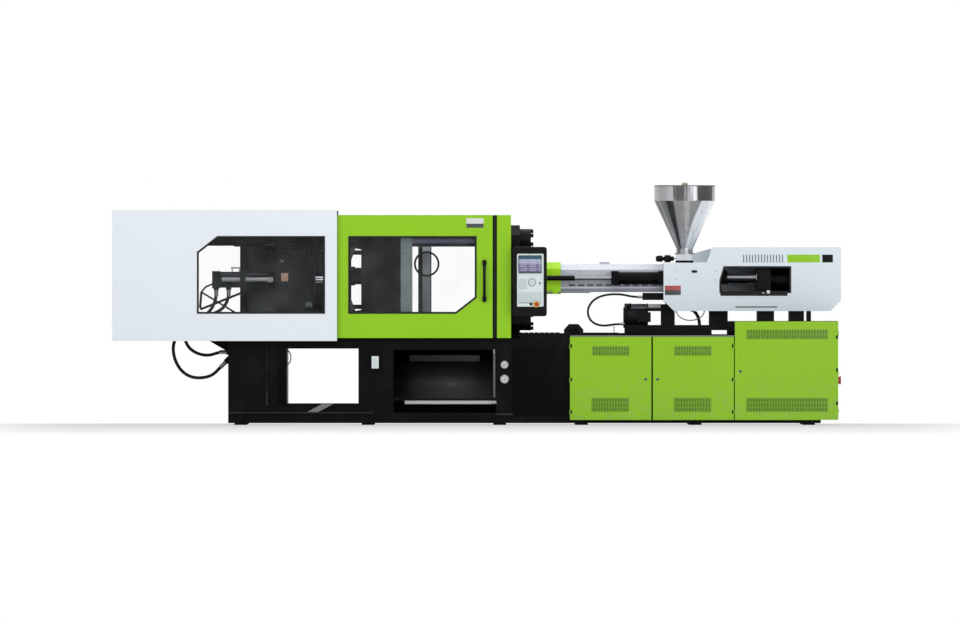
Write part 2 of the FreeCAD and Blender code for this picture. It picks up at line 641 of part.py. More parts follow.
def make_toggle(sign, name):
    """Links of the upper (1) or lower (-1) toggle, drawn with the mould open."""
    def place(x, offset):
        return x, f"axis_height + {sign} * ({offset})"
    pivot_a = place("pivot_a", "toggle_offset")
    pivot_b = place("pivot_b", "pivot_b_offset")
    pivot_c = place("pivot_c", "toggle_offset")
    pivot_d = place("pivot_d", "pivot_d_offset")
    pivot_e = place("pivot_e", "toggle_offset")
    rear, front, small = [], [], []
    hole = "toggle_pin + 2 * pin_gap"
    small_hole = "small_pin + 2 * pin_gap"
    web = [(f"pivot_b + (pivot_a - pivot_b) * {share} + {half} * link_drop / toggle_link",
            f"{pivot_b[1]} + {sign} * (toggle_offset - pivot_b_offset) * {share}"
            f" + {sign} * {half} * link_reach / toggle_link")
           for share, half in (("web_near / toggle_link", "web_half"),
                               ("(web_near + web_long) / toggle_link", "web_half"),
                               ("(web_near + web_long) / toggle_link", "-web_half"),
                               ("web_near / toggle_link", "-web_half"))]
    for side in (-1, 1):
        through = sided(side, "inner_plate", "outer_end")
        fork = join(
            link_plate((pivot_a, pivot_d), "inner_plate", "plate_thick", "small_eye", side),
            link_plate((pivot_a, pivot_b), "inner_plate", "plate_thick", "eye_radius", side),
            link_plate((pivot_a, pivot_b), "outer_plate", "plate_thick", "eye_radius", side),
            plate("XZ", [web], sided(side, "inner_plate + plate_thick", "outer_plate")),
            rod("y", pivot_b, through, "toggle_pin"),
            rod("y", pivot_d, sided(side, "small_inner - 3", "inner_plate + plate_thick"),
                "small_pin"))
        rear.append(carve(fork, rod("y", pivot_a, through, hole)))
        middle = sided(side, "middle_plate", "middle_plate + plate_thick")
        front.append(carve(
            link_plate((pivot_b, pivot_c), "middle_plate", "plate_thick", "eye_radius", side),
            rod("y", pivot_b, middle, hole), rod("y", pivot_c, middle, hole)))
        strap = sided(side, "small_inner", "small_outer")
        small.append(carve(
            link_plate((pivot_d, pivot_e), "small_inner", "small_plate", "small_eye", side),
            rod("y", pivot_d, strap, small_hole), rod("y", pivot_e, strap, small_hole)))
    node(f"rear_link_{name}", group(*rear))
    node(f"front_link_{name}", group(*front))
    node(f"small_link_{name}", group(*small))


def make_crosshead():
    """Crosshead: two arms, bridges for the rods, and the four small-link pins."""
    tall = ("axis_height - toggle_offset - small_eye", "axis_height + toggle_offset + small_eye")
    along = ("pivot_e - crosshead_half + 15", "pivot_e + crosshead_half - 15")
    parts = [block(along, sided(side, "arm_inner", "arm_outer"), tall) for side in (-1, 1)]
    parts.append(block(("pivot_e - crosshead_half", "pivot_e + crosshead_half"),
                       ("-arm_outer", "arm_outer"), about(1, "-boss_half", "boss_half")))
    for sign in (-1, 1):
        parts.append(block(("pivot_e - crosshead_half", "pivot_e + crosshead_half"),
                           ("-arm_inner", "arm_inner"),
                           about(sign, "guide_offset - 50", "guide_offset + 50")))
    parts += pins("pivot_e", "toggle_offset", "arm_inner", "small_outer", "small_pin")
    span = ("pivot_e - crosshead_half", "pivot_e + crosshead_half")
    bores = [rod("x", ("0", f"axis_height + {sign} * guide_offset"), span,
                 "guide_dia + 2 * slide_gap") for sign in (-1, 1)]
    bores.append(rod("x", ("0", "axis_height"), span, "rod_dia - 20"))
    return node("crosshead", carve(join(*parts), *bores))


def make_clamp_cylinder():
    """Tie-rod cylinder on the tail platen, hollow, with square caps and a gland."""
    left, right = "clamp_cylinder_left", "tail_back"
    bore = ("clamp_cylinder_left + clamp_cap_long", "tail_back - clamp_cap_long")
    parts = [rod("x", ("0", "axis_height"), (left, right), "clamp_barrel")]
    for span in ((left, f"{left} + clamp_cap_long"), (f"{right} - clamp_cap_long", right)):
        parts.append(block(span, ("-clamp_cap / 2", "clamp_cap / 2"),
                           about(1, "-clamp_cap / 2", "clamp_cap / 2")))
    for port_x, port_y, port_z in (LONG_HOSE[-1], SHORT_HOSE[-1]):
        parts.append(rod("z", (port_x, port_y), (port_z, "axis_height - 70"), "port_dia"))
    for y, z in corner_places("clamp_cap / 2 - 16"):
        parts.append(rod("x", (y, z), (f"{left} + clamp_cap_long", f"{right} - clamp_cap_long"),
                         "clamp_tie_rod"))
    whole = join(*parts)
    return node("clamp_cylinder", carve(
        whole, join(rod("x", ("0", "axis_height"), bore, "clamp_bore"),
                    rod("x", ("0", "axis_height"), ("tail_back - clamp_cap_long", right),
                        "rod_dia + 2 * slide_gap"))))


def make_piston_rod():
    """Clamp piston and its rod, screwed into the crosshead."""
    head = "clamp_cylinder_left + clamp_cap_long + 12"
    shoulder = "pivot_e - crosshead_half"
    return node("clamp_piston", turned("x", ("0", "axis_height"), [
        (head, "0"), ("pivot_e + crosshead_half", "0"),
        ("pivot_e + crosshead_half", "rod_dia / 2 - 10"), (shoulder, "rod_dia / 2 - 10"),
        (shoulder, "rod_dia / 2"), (f"{head} + clamp_piston_long", "rod_dia / 2"),
        (f"{head} + clamp_piston_long", "clamp_bore / 2 - slide_gap"),
        (head, "clamp_bore / 2 - slide_gap")]))


def make_ejector():
    """Ejector plate with its rods, in front of its two small cylinders."""
    back = "moving_back - ejector_gap - ejector_plate"
    face = "moving_back - ejector_gap"
    slab = block((back, face), ("-ejector_half", "ejector_half"),
                 about(1, "-ejector_high", "ejector_high"))
    rods = [rod("x", ("0", "axis_height"), (face, "moving_face - 20"), "ejector_rod")]
    holes = [rod("x", (f"{side} * ejector_pitch", "axis_height"), (back, face),
                 "ejector_guide + 2 * slide_gap") for side in (-1, 1)]
    return node("ejector_plate", carve(join(slab, *rods), *holes))


# ---------------------------------------------------------------- guards

def window_cut(left, right, corner):
    """A window outline with one cut corner."""
    low, high = "window_low", "window_high"
    wide, tall = "window_chamfer_wide", "window_chamfer_high"
    if corner == "upper_left":
        return [(left, low), (right, low), (right, high), (f"{left} + {wide}", high),
                (left, f"{high} - {tall}")]
    return [(left, low), (f"{right} - {wide}", low), (right, f"{low} + {tall}"), (right, high),
            (left, high)]


def grown(corners):
    """A plain pane outline that laps over a window on every side."""
    return rectangle(f"{corners[0]} - pane_lap", f"{corners[1]} + pane_lap",
                     "window_low - pane_lap", "window_high + pane_lap")


def make_guard_frame():
    """Black posts, beams and gate rails that carry the guards."""
    parts = []
    left = "machine_left + 65"
    for side in (-1, 1):
        across = sided(side, "post_in", "post_out")
        parts.append(block((left, "guard_right - 60"), across, ("base_top", "base_top + 60")))
        parts.append(block((left, "post_left + 80"), across, ("gate_high - 70", "gate_high - 10")))
        for x, low in ((left, "base_top + 60"), ("rear_window_right + 10", "base_top + 60"),
                       ("guard_right - 120", "base_top + 60"), ("post_left + 20", "base_top")):
            parts.append(block((x, f"{x} + 60"), across, (low, "gate_high - 70")))
        parts.append(block(("gate_left - 1500", "post_left + 80"), sided(side, "post_out", "rail_out"),
                           ("gate_high - 50", "gate_high - 12")))
        parts.append(block(("guard_right - 60", "post_left + 80"), across,
                           ("base_top", "base_top + 45")))
        parts.append(block(("gate_left - 1500", "post_left + 80"), sided(side, "post_out", "rail_out"),
                           ("gate_low + 8", "base_top + 45")))
        reach = sided(side, "post_out", "guard_out - sheet_metal")
        for x in ("machine_left + 65", "base_left + 20", "guard_right - 60"):
            parts.append(block((x, f"{x} + 40"), across, ("gate_high - 10", "guard_high - 4")))
            parts.append(block((x, f"{x} + 40"), reach, ("gate_high + 6", "guard_high - 4")))
        parts.append(block(("machine_left + 65", "machine_left + 105"), reach,
                           ("guard_low + sheet_metal", "base_top + 60")))
        for z in ("gate_low + 120", "gate_high - 130"):
            parts.append(block(("post_left + 30", "post_left + 70"),
                               sided(side, "post_out", "gate_out - sheet_metal"),
                               (z, f"{z} + 40")))
    for z in ("base_top", "gate_high - 70"):
        parts.append(block((left, f"{left} + 60"), ("-post_in", "post_in"), (z, f"{z} + 60")))
    for side in (-1, 1):
        parts.append(plate("XZ", [[("base_left", "base_top - 147"), ("base_left", "base_top"),
                                   ("base_left - 209", "base_top"),
                                   ("base_left - 209", "base_top - 25")]],
                           sided(side, "post_in", "post_out")))
    return node("guard_frame", join(*parts))


def make_front_guard():
    """White cover over the clamp's operator side, with a window that has a cut corner."""
    outer = ("machine_left", "guard_right", "guard_low", "guard_high")
    hole = window_cut("front_window_left", "front_window_right", "upper_left")
    return node("guard_front", tray(outer, [hole], -1, "guard_in", "guard_out"))


def make_rear_guard():
    """White far-side cover and end cover."""
    outer = ("machine_left", "guard_right", "guard_low", "guard_high")
    hole = rectangle("rear_window_left", "rear_window_right", "window_low", "window_high")
    far = tray(outer, [hole], 1, "guard_in", "guard_out")
    end = block(("machine_left", "machine_left + sheet_metal"), ("-guard_in", "guard_in"),
                ("guard_low", "guard_high"))
    return node("guard_rear", join(far, end))


def make_guard_panes():
    """Clear panes of the two clamp guards."""
    outer = "guard_out - sheet_metal"
    front = plate("XZ", [grown(("front_window_left", "front_window_right"))],
                  sided(-1, f"{outer} - pane", outer))
    rear = plate("XZ", [grown(("rear_window_left", "rear_window_right"))],
                 sided(1, f"{outer} - pane", outer))
    return node("guard_windows", group(front, rear))


def make_post_covers():
    """Green fixed covers beside the gates."""
    outer = ("post_left", "post_right", "gate_low", "gate_high")
    return node("post_covers", group(*[tray(outer, [], side, "gate_in", "gate_out")
                                       for side in (-1, 1)]))


def make_gate(side, name):
    """A sliding gate and its pane; the far-side gate has a mullion."""
    outer = ("gate_left", "gate_right", "gate_low", "gate_high")
    if side < 0:
        holes = [window_cut("gate_window_left", "gate_window_right", "lower_right")]
    else:
        holes = [rectangle("gate_window_left", "mullion_left", "window_low", "window_high"),
                 rectangle("mullion_right", "gate_window_right", "window_low", "window_high")]
    skin = "gate_out - sheet_metal"
    shoes = [block((x, f"{x} + 100"), sided(side, "rail_out - 22", skin),
                   ("base_top + 45", "base_top + 65"))
             for x in ("gate_left + 150", "gate_right - 250")]
    node(name, join(tray(outer, holes, side, "gate_in", "gate_out"), *shoes))
    node(name + "_window", plate("XZ", [grown(("gate_window_left", "gate_window_right"))],
                                 sided(side, f"{skin} - pane", skin)))


def make_gate_handles(side, name):
    """A bow handle on two round mounts."""
    reach = "gate_out + handle_reach"
    parts = [rod("z", ("handle_x", f"{side} * ({reach})"),
                 ("handle_low", "handle_high"), "handle_bar")]
    for z in ("handle_low + 16", "handle_high - 16"):
        parts.append(rod("y", ("handle_x", z), sided(side, "gate_out", reach), "handle_bar"))
        parts.append(rod("y", ("handle_x", z), sided(side, "gate_out", "gate_out + 12"), "44"))
    return node(name, join(*parts))


# ---------------------------------------------------------------- control panel

def make_panel():
    """Control panel housing with rounded corners, a recessed face, a dial and keys."""
    left, right = "panel_left", "panel_left + panel_wide"
    low, high = "panel_low", "panel_low + panel_tall"
    shell = plate("XZ", [rectangle(left, right, low, high)], ("-panel_front", "-panel_back"))
    doc.recompute()
    pad = shell.Tip
    upright = [f"Edge{index + 1}" for index, edge in enumerate(pad.Shape.Edges)
               if abs(edge.tangentAt(edge.FirstParameter).y) > 0.99]
    fillet = shell.newObject("PartDesign::Fillet", "corners")
    fillet.Base = (pad, upright)
    bind(fillet, Radius="panel_round")
    shell.Tip = fillet
    face = block((f"{left} + 38", f"{right} - 30"), ("-panel_front", "-panel_front + panel_recess"),
                 (f"{low} + 100", f"{high} - 70"))
    back = "-panel_front + panel_recess"
    screen = block((f"{left} + 60", f"{right} - 60"), (f"{back} - 3", back),
                   (f"{high} - 275", f"{high} - 92"))
    keys = [block((f"{left} + 60", f"{right} - 60"), (f"{back} - 4", back),
                  (f"{low} + 140", f"{low} + 255")),
            block((f"{left} + 66", f"{left} + 140"), (f"{back} - 4", back),
                  (f"{low} + 300", f"{low} + 400"))]
    dial = rod("y", (f"{left} + 205", f"{low} + 368"), (f"{back} - 12", back), "72")
    boss = rod("y", ("estop_x", "estop_z"), ("-panel_front", back), "estop_dia + 24")
    knuckles = [rod("z", ("hinge_x", "-hinge_y"), (f"{low} + {a}", f"{low} + {b}"), "28")
                for a, b in ((330, 355), (437, 462))]
    straps = [block(("hinge_x", f"{left} + 60"), ("-panel_back", "-hinge_y + 6"),
                    (f"{low} + {a}", f"{low} + {b}")) for a, b in ((330, 355), (437, 462))]
    body = carve(shell, face)
    whole = join(body, screen, *keys, dial, boss, *knuckles, *straps)
    hole = rod("z", ("hinge_x", "-hinge_y"), (f"{low} + 300", f"{low} + 500"),
               "hinge_pin + 2 * pin_gap")
    well = rod("y", ("estop_x", "estop_z"), ("-panel_front", "15 - panel_front"),
               "estop_stem + 2 * slide_gap")
    return node("control_panel", carve(whole, hole, well))


def make_panel_arm():
    """Arm from the fixed platen's side with the knuckle and pin that carry the panel."""
    low = "panel_low + 355"
    high = "panel_low + 437"
    arm = block(("hinge_x - 12", "hinge_x + 12"), ("-hinge_y", "-platen_half"), (low, high))
    knuckle = rod("z", ("hinge_x", "-hinge_y"), (low, high), "28")
    pin = rod("z", ("hinge_x", "-hinge_y"), ("panel_low + 328", "panel_low + 464"), "hinge_pin")
    return node("panel_arm", join(arm, knuckle, pin))


def make_estop():
    """Mushroom button of the emergency stop."""
    back = "-panel_front"
    return node("estop_button", join(
        rod("y", ("estop_x", "estop_z"), (f"{back} - 24", f"{back} - 12"), "estop_dia"),
        rod("y", ("estop_x", "estop_z"), (f"{back} - 12", f"{back} + 3"), "estop_stem")))


# ---------------------------------------------------------------- purge guard and barrel

def hood(half, low, high, cut):
    """Section of a hood with two cut upper corners, on YZ."""
    return [(f"-({half})", low), (half, low), (half, f"{high} - {cut}"), (f"{half} - {cut}", high),
            (f"{cut} - ({half})", high), (f"-({half})", f"{high} - {cut}")]


def make_purge_guard():
    """Sliding hood round the nozzle, open below, with its bearing lugs."""
    span = ("fixed_back + 2", "purge_right")
    outer = plate("YZ", [hood("purge_half", "purge_low", "purge_high", "purge_chamfer")], span)
    inner = plate("YZ", [hood("purge_half - sheet_metal", "purge_low - 20",
                              "purge_high - sheet_metal", "purge_chamfer")], span)
    shell = carve(outer, inner)
    lugs = []
    holes = []
    for side in (-1, 1):
        for x in ("fixed_back + 30", "purge_right - 90"):
            lugs.append(block((x, f"{x} + 60"), sided(side, "purge_half", "purge_half + 36"),
                              ("purge_low", "purge_low + 40")))
        holes.append(rod("x", (f"{side} * (purge_half + 18)", "purge_low + 20"), span,
                         "purge_rod + 2 * slide_gap"))
    return node("purge_guard", carve(join(shell, *lugs), *holes))


def make_barrel_cover():
    """Perforated sheet cover round the barrel."""
    span = ("cover_left", "cover_right")
    outer = plate("YZ", [hood("cover_half", "cover_low", "cover_high", "cover_chamfer")], span)
    inner = plate("YZ", [hood("cover_half - sheet_metal", "cover_low + sheet_metal",
                              "cover_high - sheet_metal", "cover_chamfer")], span)
    tab = block(("cover_left + 429", "cover_left + 539"), ("-40", "40"),
                ("cover_high", "cover_high + 26"))
    shell = join(carve(outer, inner), tab)
    slots = []
    for index in range(10):
        x = f"cover_left + 90 + {index} * (cover_right - cover_left - 150) / 10"
        for z in ("cover_low + 70", "cover_low + 165"):
            slots.append(block((x, f"{x} + 70"), ("-cover_half - 5", "cover_half + 5"),
                               (z, f"{z} + 14")))
    return node("barrel_cover", carve(shell, *slots))


def make_barrel():
    """Barrel with its end cap and nozzle, three wide heater bands and the feed opening."""
    bore, body, band = "barrel_bore / 2 + screw_gap", "barrel_dia / 2", "barrel_dia / 2 + 15"
    profile = [("nozzle_tip", "4"), ("nozzle_tip", "14"), ("nozzle_tip + 25", "30"),
               ("nozzle_tip + 150", "30"), ("nozzle_tip + 170", "60"), ("barrel_left", "90"),
               ("barrel_left + 80", "90"), ("barrel_left + 80", body)]
    for index in range(3):
        left = f"cover_left + 80 + {index} * (cover_right - cover_left - 60) / 3"
        profile += [(left, body), (left, band), (f"{left} + 280", band), (f"{left} + 280", body)]
    profile += [("throat_right", body), ("throat_right", bore), ("barrel_left + 60", bore),
                ("barrel_left", "4")]
    feed = rod("z", ("hopper_x", "0"), ("axis_height", "axis_height + barrel_dia"), "feed_bore")
    return node("barrel", carve(turned("x", ("0", "axis_height"), profile), feed))


def make_screw():
    """Screw: check ring and tip, root and spline end."""
    edge = "barrel_bore / 2"
    tip = "barrel_left + 70"
    corners = [(tip, "0"), ("thrust_left", "0"), ("thrust_left", f"{edge} - 6"),
               ("thrust_left - 90", f"{edge} - 6"), ("thrust_left - 90", edge),
               ("hopper_x + 80", edge), ("hopper_x + 80", f"{edge} - 9"),
               (f"{tip} + 150", f"{edge} - 9"), (f"{tip} + 150", edge),
               (f"{tip} + 60", edge), (f"{tip} + 60", "14")]
    return node("screw", turned("x", ("0", "axis_height"), corners))


def make_seat_cylinders():
    """The pair of cylinders that move the carriage, each a tie-rod cylinder."""
    parts = []
    for side in (-1, 1):
        place = (f"{side} * seat_offset", "seat_z")
        shell = [rod("x", place, ("seat_left + 40", "throat_left"), "seat_dia")]
        for left in ("seat_left", "throat_left - seat_cap_long"):
            shell.append(block((left, f"{left} + seat_cap_long"),
                               sided(side, "seat_offset - 78", "seat_offset + 78"),
                               ("seat_z - 78", "seat_z + 78")))
        bore = ("seat_left + seat_cap_long", "throat_left - seat_cap_long")
        parts.append(carve(join(*shell), join(
            rod("x", place, bore, "seat_bore"),
            rod("x", place, ("seat_left", "seat_left + seat_cap_long + 5"),
                "seat_rod + 2 * slide_gap"))))
    return node("seat_cylinders", group(*parts))


def make_platen_rods():
    """Rods set into the fixed platen: the purge guard's and the seat cylinders'."""
    parts = [rod("x", (f"{side} * (purge_half + 18)", "purge_low + 20"),
                 ("fixed_back", "purge_right + purge_travel + 20"), "purge_rod")
             for side in (-1, 1)]
    for side in (-1, 1):
        reach = "throat_left - seat_cap_long - seat_forward - 20"
        parts.append(turned("x", (f"{side} * seat_offset", "seat_z"), [
            ("fixed_back", "0"), (reach, "0"), (reach, "seat_bore / 2 - slide_gap"),
            (f"{reach} - 40", "seat_bore / 2 - slide_gap"), (f"{reach} - 40", "seat_rod / 2"),
            ("seat_sleeve_right", "seat_rod / 2"), ("seat_sleeve_right", "seat_sleeve / 2"),
            ("fixed_back", "seat_sleeve / 2")]))
    return node("platen_rods", group(*parts))


# ---------------------------------------------------------------- injection unit

def make_throat_block():
    """Cast block that holds the barrel and the hopper, on its pedestal."""
    parts = [block(("throat_left", "throat_right"), ("-throat_half", "throat_half"),
                   ("throat_low", "throat_top")),
             block(("throat_left", "throat_left + 120"), ("-seat_offset - 78", "seat_offset + 78"),
                   ("seat_z - 110", "seat_z + 110"))]
    parts.append(block(("column_left", "column_left + 154"), ("-110", "110"),
                       ("beam_top", "throat_low")))
    for side in (-1, 1):
        parts.append(block(("carriage_left", "carriage_right"),
                           sided(side, "rail_offset - 45", "rail_offset + 45"),
                           ("slider_top", "beam_top")))
        for left in ("carriage_left + 20", "rail_right - 250"):
            parts.append(block((left, f"{left} + 200"),
                               sided(side, "rail_offset - 45", "rail_offset + 45"),
                               ("rail_top", "slider_top")))
    parts.append(block(("throat_left - 60", "carriage_right"), ("45 - rail_offset", "rail_offset - 45"),
                       ("slider_top", "beam_top")))
    inner = "housing_half - sheet_metal"
    parts.append(block(("throat_right - 160", "support_far_right"), (f"-({inner})", inner),
                       ("injection_floor", "floor_top")))
    parts.append(block(("carriage_right - 218", "carriage_right - 12"), ("-200", "200"),
                       ("beam_top", "injection_floor")))
    for side in (-1, 1):
        parts.append(block(("throat_right", "support_far_right"),
                           sided(side, "injection_offset - 20", "injection_offset + 40"),
                           ("floor_top", "guide_top")))
        for left, right in (("support_left", "support_right"),
                            ("support_far_left", "support_far_left + 165"),
                            ("support_far_right - 44", "support_far_right")):
            parts.append(block((left, right), sided(side, "170", "310"),
                               ("tall_cabinet_top + 5", "injection_floor")))
    parts.append(block(("hopper_x - 100", "hopper_x + 100"), ("-100", "100"),
                       ("throat_top", "feed_top")))
    arm_z = ("manifold_low", "manifold_high")
    parts.append(block(("manifold_left", "throat_left"), ("-manifold_y - 15", "15 - manifold_y"),
                       arm_z))
    parts.append(block(("throat_left - 60", "throat_left"), ("-manifold_y - 15", "-110"), arm_z))
    whole = join(*parts)
    slot = block(("hopper_x - 101", "hopper_x + 61"), ("-60.5", "60.5"),
                 ("throat_top + 43.5", "throat_top + 56.5"))
    return node("carriage", carve(whole, join(
        rod("x", ("0", "axis_height"), ("throat_left", "throat_right"), "barrel_dia"),
        rod("z", ("hopper_x", "0"), ("axis_height", "feed_top"), "feed_bore"), slot)))


def make_carriage_rails():
    """Two ground rails on the deck."""
    return node("carriage_rails", group(*[
        block(("rail_left", "rail_right"), sided(side, "rail_offset - rail_wide / 2",
                                                 "rail_offset + rail_wide / 2"),
              ("bed_top", "rail_top")) for side in (-1, 1)]))


def make_cable_chain():
    """Cable chain on the deck: flat links, the standing loop and the tray beyond it."""
    span = ("chain_y - 30", "chain_y + 30")
    low = "bed_top"
    links = [block((f"chain_left + {index} * chain_pitch",
                    f"chain_left + {index} * chain_pitch + chain_pitch - 9"), span,
                   (low, f"{low} + 40")) for index in range(8)]
    spine = block(("chain_left", "loop_left + 30"), ("chain_y - 22", "chain_y + 22"),
                  (low, f"{low} + 32"))
    right, top = "loop_left + 215", f"{low} + 132"
    outside = [("loop_left", low), (right, low), (right, f"{low} + 70"), (f"{right} - 55", top),
               ("loop_left + 55", top), ("loop_left", f"{low} + 70")]
    inside = [("loop_left + 62", f"{low} + 30"), (f"{right} - 62", f"{low} + 30"),
              (f"{right} - 62", f"{low} + 66"), (f"{right} - 84", f"{low} + 84"),
              ("loop_left + 84", f"{low} + 84"), ("loop_left + 62", f"{low} + 66")]
    loop = plate("XZ", [outside, inside], span)
    floor = block((right, f"{right} + 380"), span, (low, f"{low} + 8"))
    walls = [block((right, f"{right} + 380"), (f"chain_y + {a}", f"chain_y + {b}"),
                   (low, f"{low} + 38")) for a, b in ((-30, -26), (26, 30))]
    return node("cable_chain", join(*links, spine, loop, floor, *walls))


def make_housing():
    """Folded white housing over the injection unit, open below, with windows."""
    left, right, low, high = "housing_left", "machine_right", "housing_low", "housing_high"
    cut, wall, step = "housing_corner", "sheet_metal", "throat_top + sheet_metal"
    outline = [(left, f"{low} + {cut}"), (f"{left} + {cut}", low), (f"{right} - {cut}", low),
               (right, f"{low} + {cut}"), (right, high), ("housing_shoulder + housing_slope", high),
               ("housing_shoulder", step), (left, step)]
    inset = [(f"{left} + {wall}", f"{low} + {cut} + 0.4 * {wall}"),
             (f"{left} + {cut} + 1.4 * {wall}", low), (f"{left} + {cut} + 1.4 * {wall}", f"{low} - 9"),
             (f"{right} - {cut} - 1.4 * {wall}", f"{low} - 9"),
             (f"{right} - {cut} - 1.4 * {wall}", low),
             (f"{right} - {wall}", f"{low} + {cut} + 0.4 * {wall}"),
             (f"{right} - {wall}", f"{high} - {wall}"),
             (f"housing_shoulder + housing_slope + 0.6 * {wall}", f"{high} - {wall}"),
             (f"housing_shoulder + 0.6 * {wall}", "throat_top"), (f"{left} + {wall}", "throat_top")]
    half = "housing_half"
    outer = plate("XZ", [outline], (f"-{half}", half))
    inner = plate("XZ", [inset], (f"{wall} - {half}", f"{half} - {wall}"))
    window = plate("XZ", [[("housing_window_left", "housing_window_low"),
                           ("housing_window_right", "housing_window_low"),
                           ("housing_window_right", "housing_window_high"),
                           ("housing_window_left + 44", "housing_window_high"),
                           ("housing_window_left", "housing_window_high - 143")]],
                   (f"-{half} - 5", f"5 - {half}"))
    slot = block(("housing_window_left + 165", "housing_window_right - 143"),
                 (f"-{half} - 5", f"5 - {half}"), (f"{low} + 38", f"{low} + 50"))
    mouth = block((f"{left} - 5", f"{left} + {wall}"), (f"9 - {half}", f"{half} - 9"),
                  ("cover_low - 8", "throat_top - 6"))
    feed = block(("hopper_x - 115", "hopper_x + 115"), ("-115", "115"),
                 ("throat_top", "throat_top + 20"))
    foot_way = block((f"{left} - 5", f"{left} + {cut} + 15"), ("-215", "215"),
                     (f"{low} - 5", "cover_low + 10"))
    folded = carve(carve(outer, inner), window, slot)
    return node("injection_housing", carve(folded, join(mouth, foot_way), feed))


def make_hopper():
    """Spun hopper: rolled rim, cylinder, cone, neck and flange, with the lid's hinge pin."""
    wall, rim = "hopper_wall", "hopper_rim"
    neck = "feed_top + 14"
    shell = turned("z", ("hopper_x", "0"), [
        ("feed_top", "feed_bore / 2"), ("feed_top", "hopper_throat + 22"),
        (neck, "hopper_throat + 22"), (neck, "hopper_throat"),
        ("hopper_bottom", "hopper_throat"), ("hopper_shoulder", rim), ("hopper_top", rim),
        ("hopper_top", f"{rim} - {wall}"), ("hopper_shoulder", f"{rim} - {wall}"),
        ("hopper_bottom", f"hopper_throat - {wall}"), (neck, f"hopper_throat - {wall}"),
        (neck, "feed_bore / 2")])
    hinge_y = "hopper_rim + lid_hinge"
    ears = []
    for a, b in ((-42, -26), (26, 42)):
        across = (f"hopper_x + {a}", f"hopper_x + {b}")
        ears.append(block(across, (f"{rim} - 3.5", f"{hinge_y} + 8"), ("hopper_top - 8", "hopper_top")))
        ears.append(block(across, (f"{hinge_y} - 8", f"{hinge_y} + 8"),
                          ("hopper_top", "hopper_top + 11.5")))
    pin_hole = rod("x", (hinge_y, "hopper_top + 6"), ("hopper_x - 42", "hopper_x + 42"),
                   "lid_pin + 2 * pin_gap")
    return node("hopper", carve(join(shell, *ears), pin_hole))


def make_lid():
    """Hopper lid with a raised middle, a knob and a knuckle at the far side."""
    low = "hopper_top"
    disc = turned("z", ("hopper_x", "0"), [
        (low, "0"), (low, "hopper_rim + 5"), (f"{low} + 8", "hopper_rim + 5"), (f"{low} + 8", "11"),
        (f"{low} + 30", "11"), (f"{low} + 30", "21"), (f"{low} + 42", "21"), (f"{low} + 42", "0")])
    knuckle = rod("x", ("hopper_rim + lid_hinge", f"{low} + 6"),
                  ("hopper_x - 42", "hopper_x + 42"), "lid_pin")
    tab = block(("hopper_x - 25.7", "hopper_x + 25.7"),
                ("hopper_rim - 12", "hopper_rim + lid_hinge"), (f"{low} + 2", f"{low} + 8"))
    return node("hopper_lid", join(disc, knuckle, tab))


def make_shutter():
    """Shut-off slide in the feed block, with its rod and round knob."""
    middle = "throat_top + 50"
    blade = block(("hopper_x - 150", "hopper_x + 60"), ("-60", "60"),
                  (f"{middle} - 6", f"{middle} + 6"))
    stem = rod("x", ("0", middle), ("hopper_x - 245", "hopper_x - 150"), "16")
    knob = rod("x", ("0", middle), ("hopper_x - 319", "hopper_x - 245"), "54")
    return node("hopper_shutter", join(blade, stem, knob))


def make_thrust_unit():
    """Thrust plate on its shoes, injection pistons and rods, and the screw's drive."""
    left, right = "thrust_left", "thrust_right"
    body = block((left, right), ("-injection_offset - 80", "injection_offset + 80"),
                 ("axis_height - 110", "axis_height + 130"))
    parts = [body, rod("x", ("0", "axis_height"), (right, f"{right} + 60"), "260"),
             rod("x", ("0", "axis_height"), (f"{right} + 60", f"{right} + 320"), "310")]
    for side in (-1, 1):
        place = (f"{side} * injection_offset", "injection_z")
        parts.append(block((left, right), sided(side, "injection_offset - 30",
                                                "injection_offset + 50"),
                           ("guide_top", "axis_height - 110")))
        head = "injection_left + 90"
        parts.append(turned("x", place, [
            (head, "0"), (left, "0"), (left, "injection_rod / 2"),
            (f"{head} + 40", "injection_rod / 2"), (f"{head} + 40", "injection_bore / 2 - slide_gap"),
            (head, "injection_bore / 2 - slide_gap")]))
    return node("thrust_unit", join(*parts))


def make_injection_cylinders():
    """The pair of injection cylinders bolted to the flanks of the throat block."""
    parts = []
    for side in (-1, 1):
        place = (f"{side} * injection_offset", "injection_z")
        tube = rod("x", place, ("injection_left", "injection_right"), "injection_dia")
        flanges = [block((a, b), sided(side, "throat_half", "injection_offset + 85"),
                         ("injection_z - 85", "injection_z + 85"))
                   for a, b in (("injection_left", "injection_left + 50"),
                                ("throat_right - 60", "throat_right"))]
        bore = join(rod("x", place, ("injection_left + 60", "injection_right - 60"),
                        "injection_bore"),
                    rod("x", place, ("injection_right - 60", "injection_right"),
                        "injection_rod + 2 * slide_gap"))
        parts.append(carve(join(tube, *flanges), bore))
    return node("injection_cylinders", group(*parts))


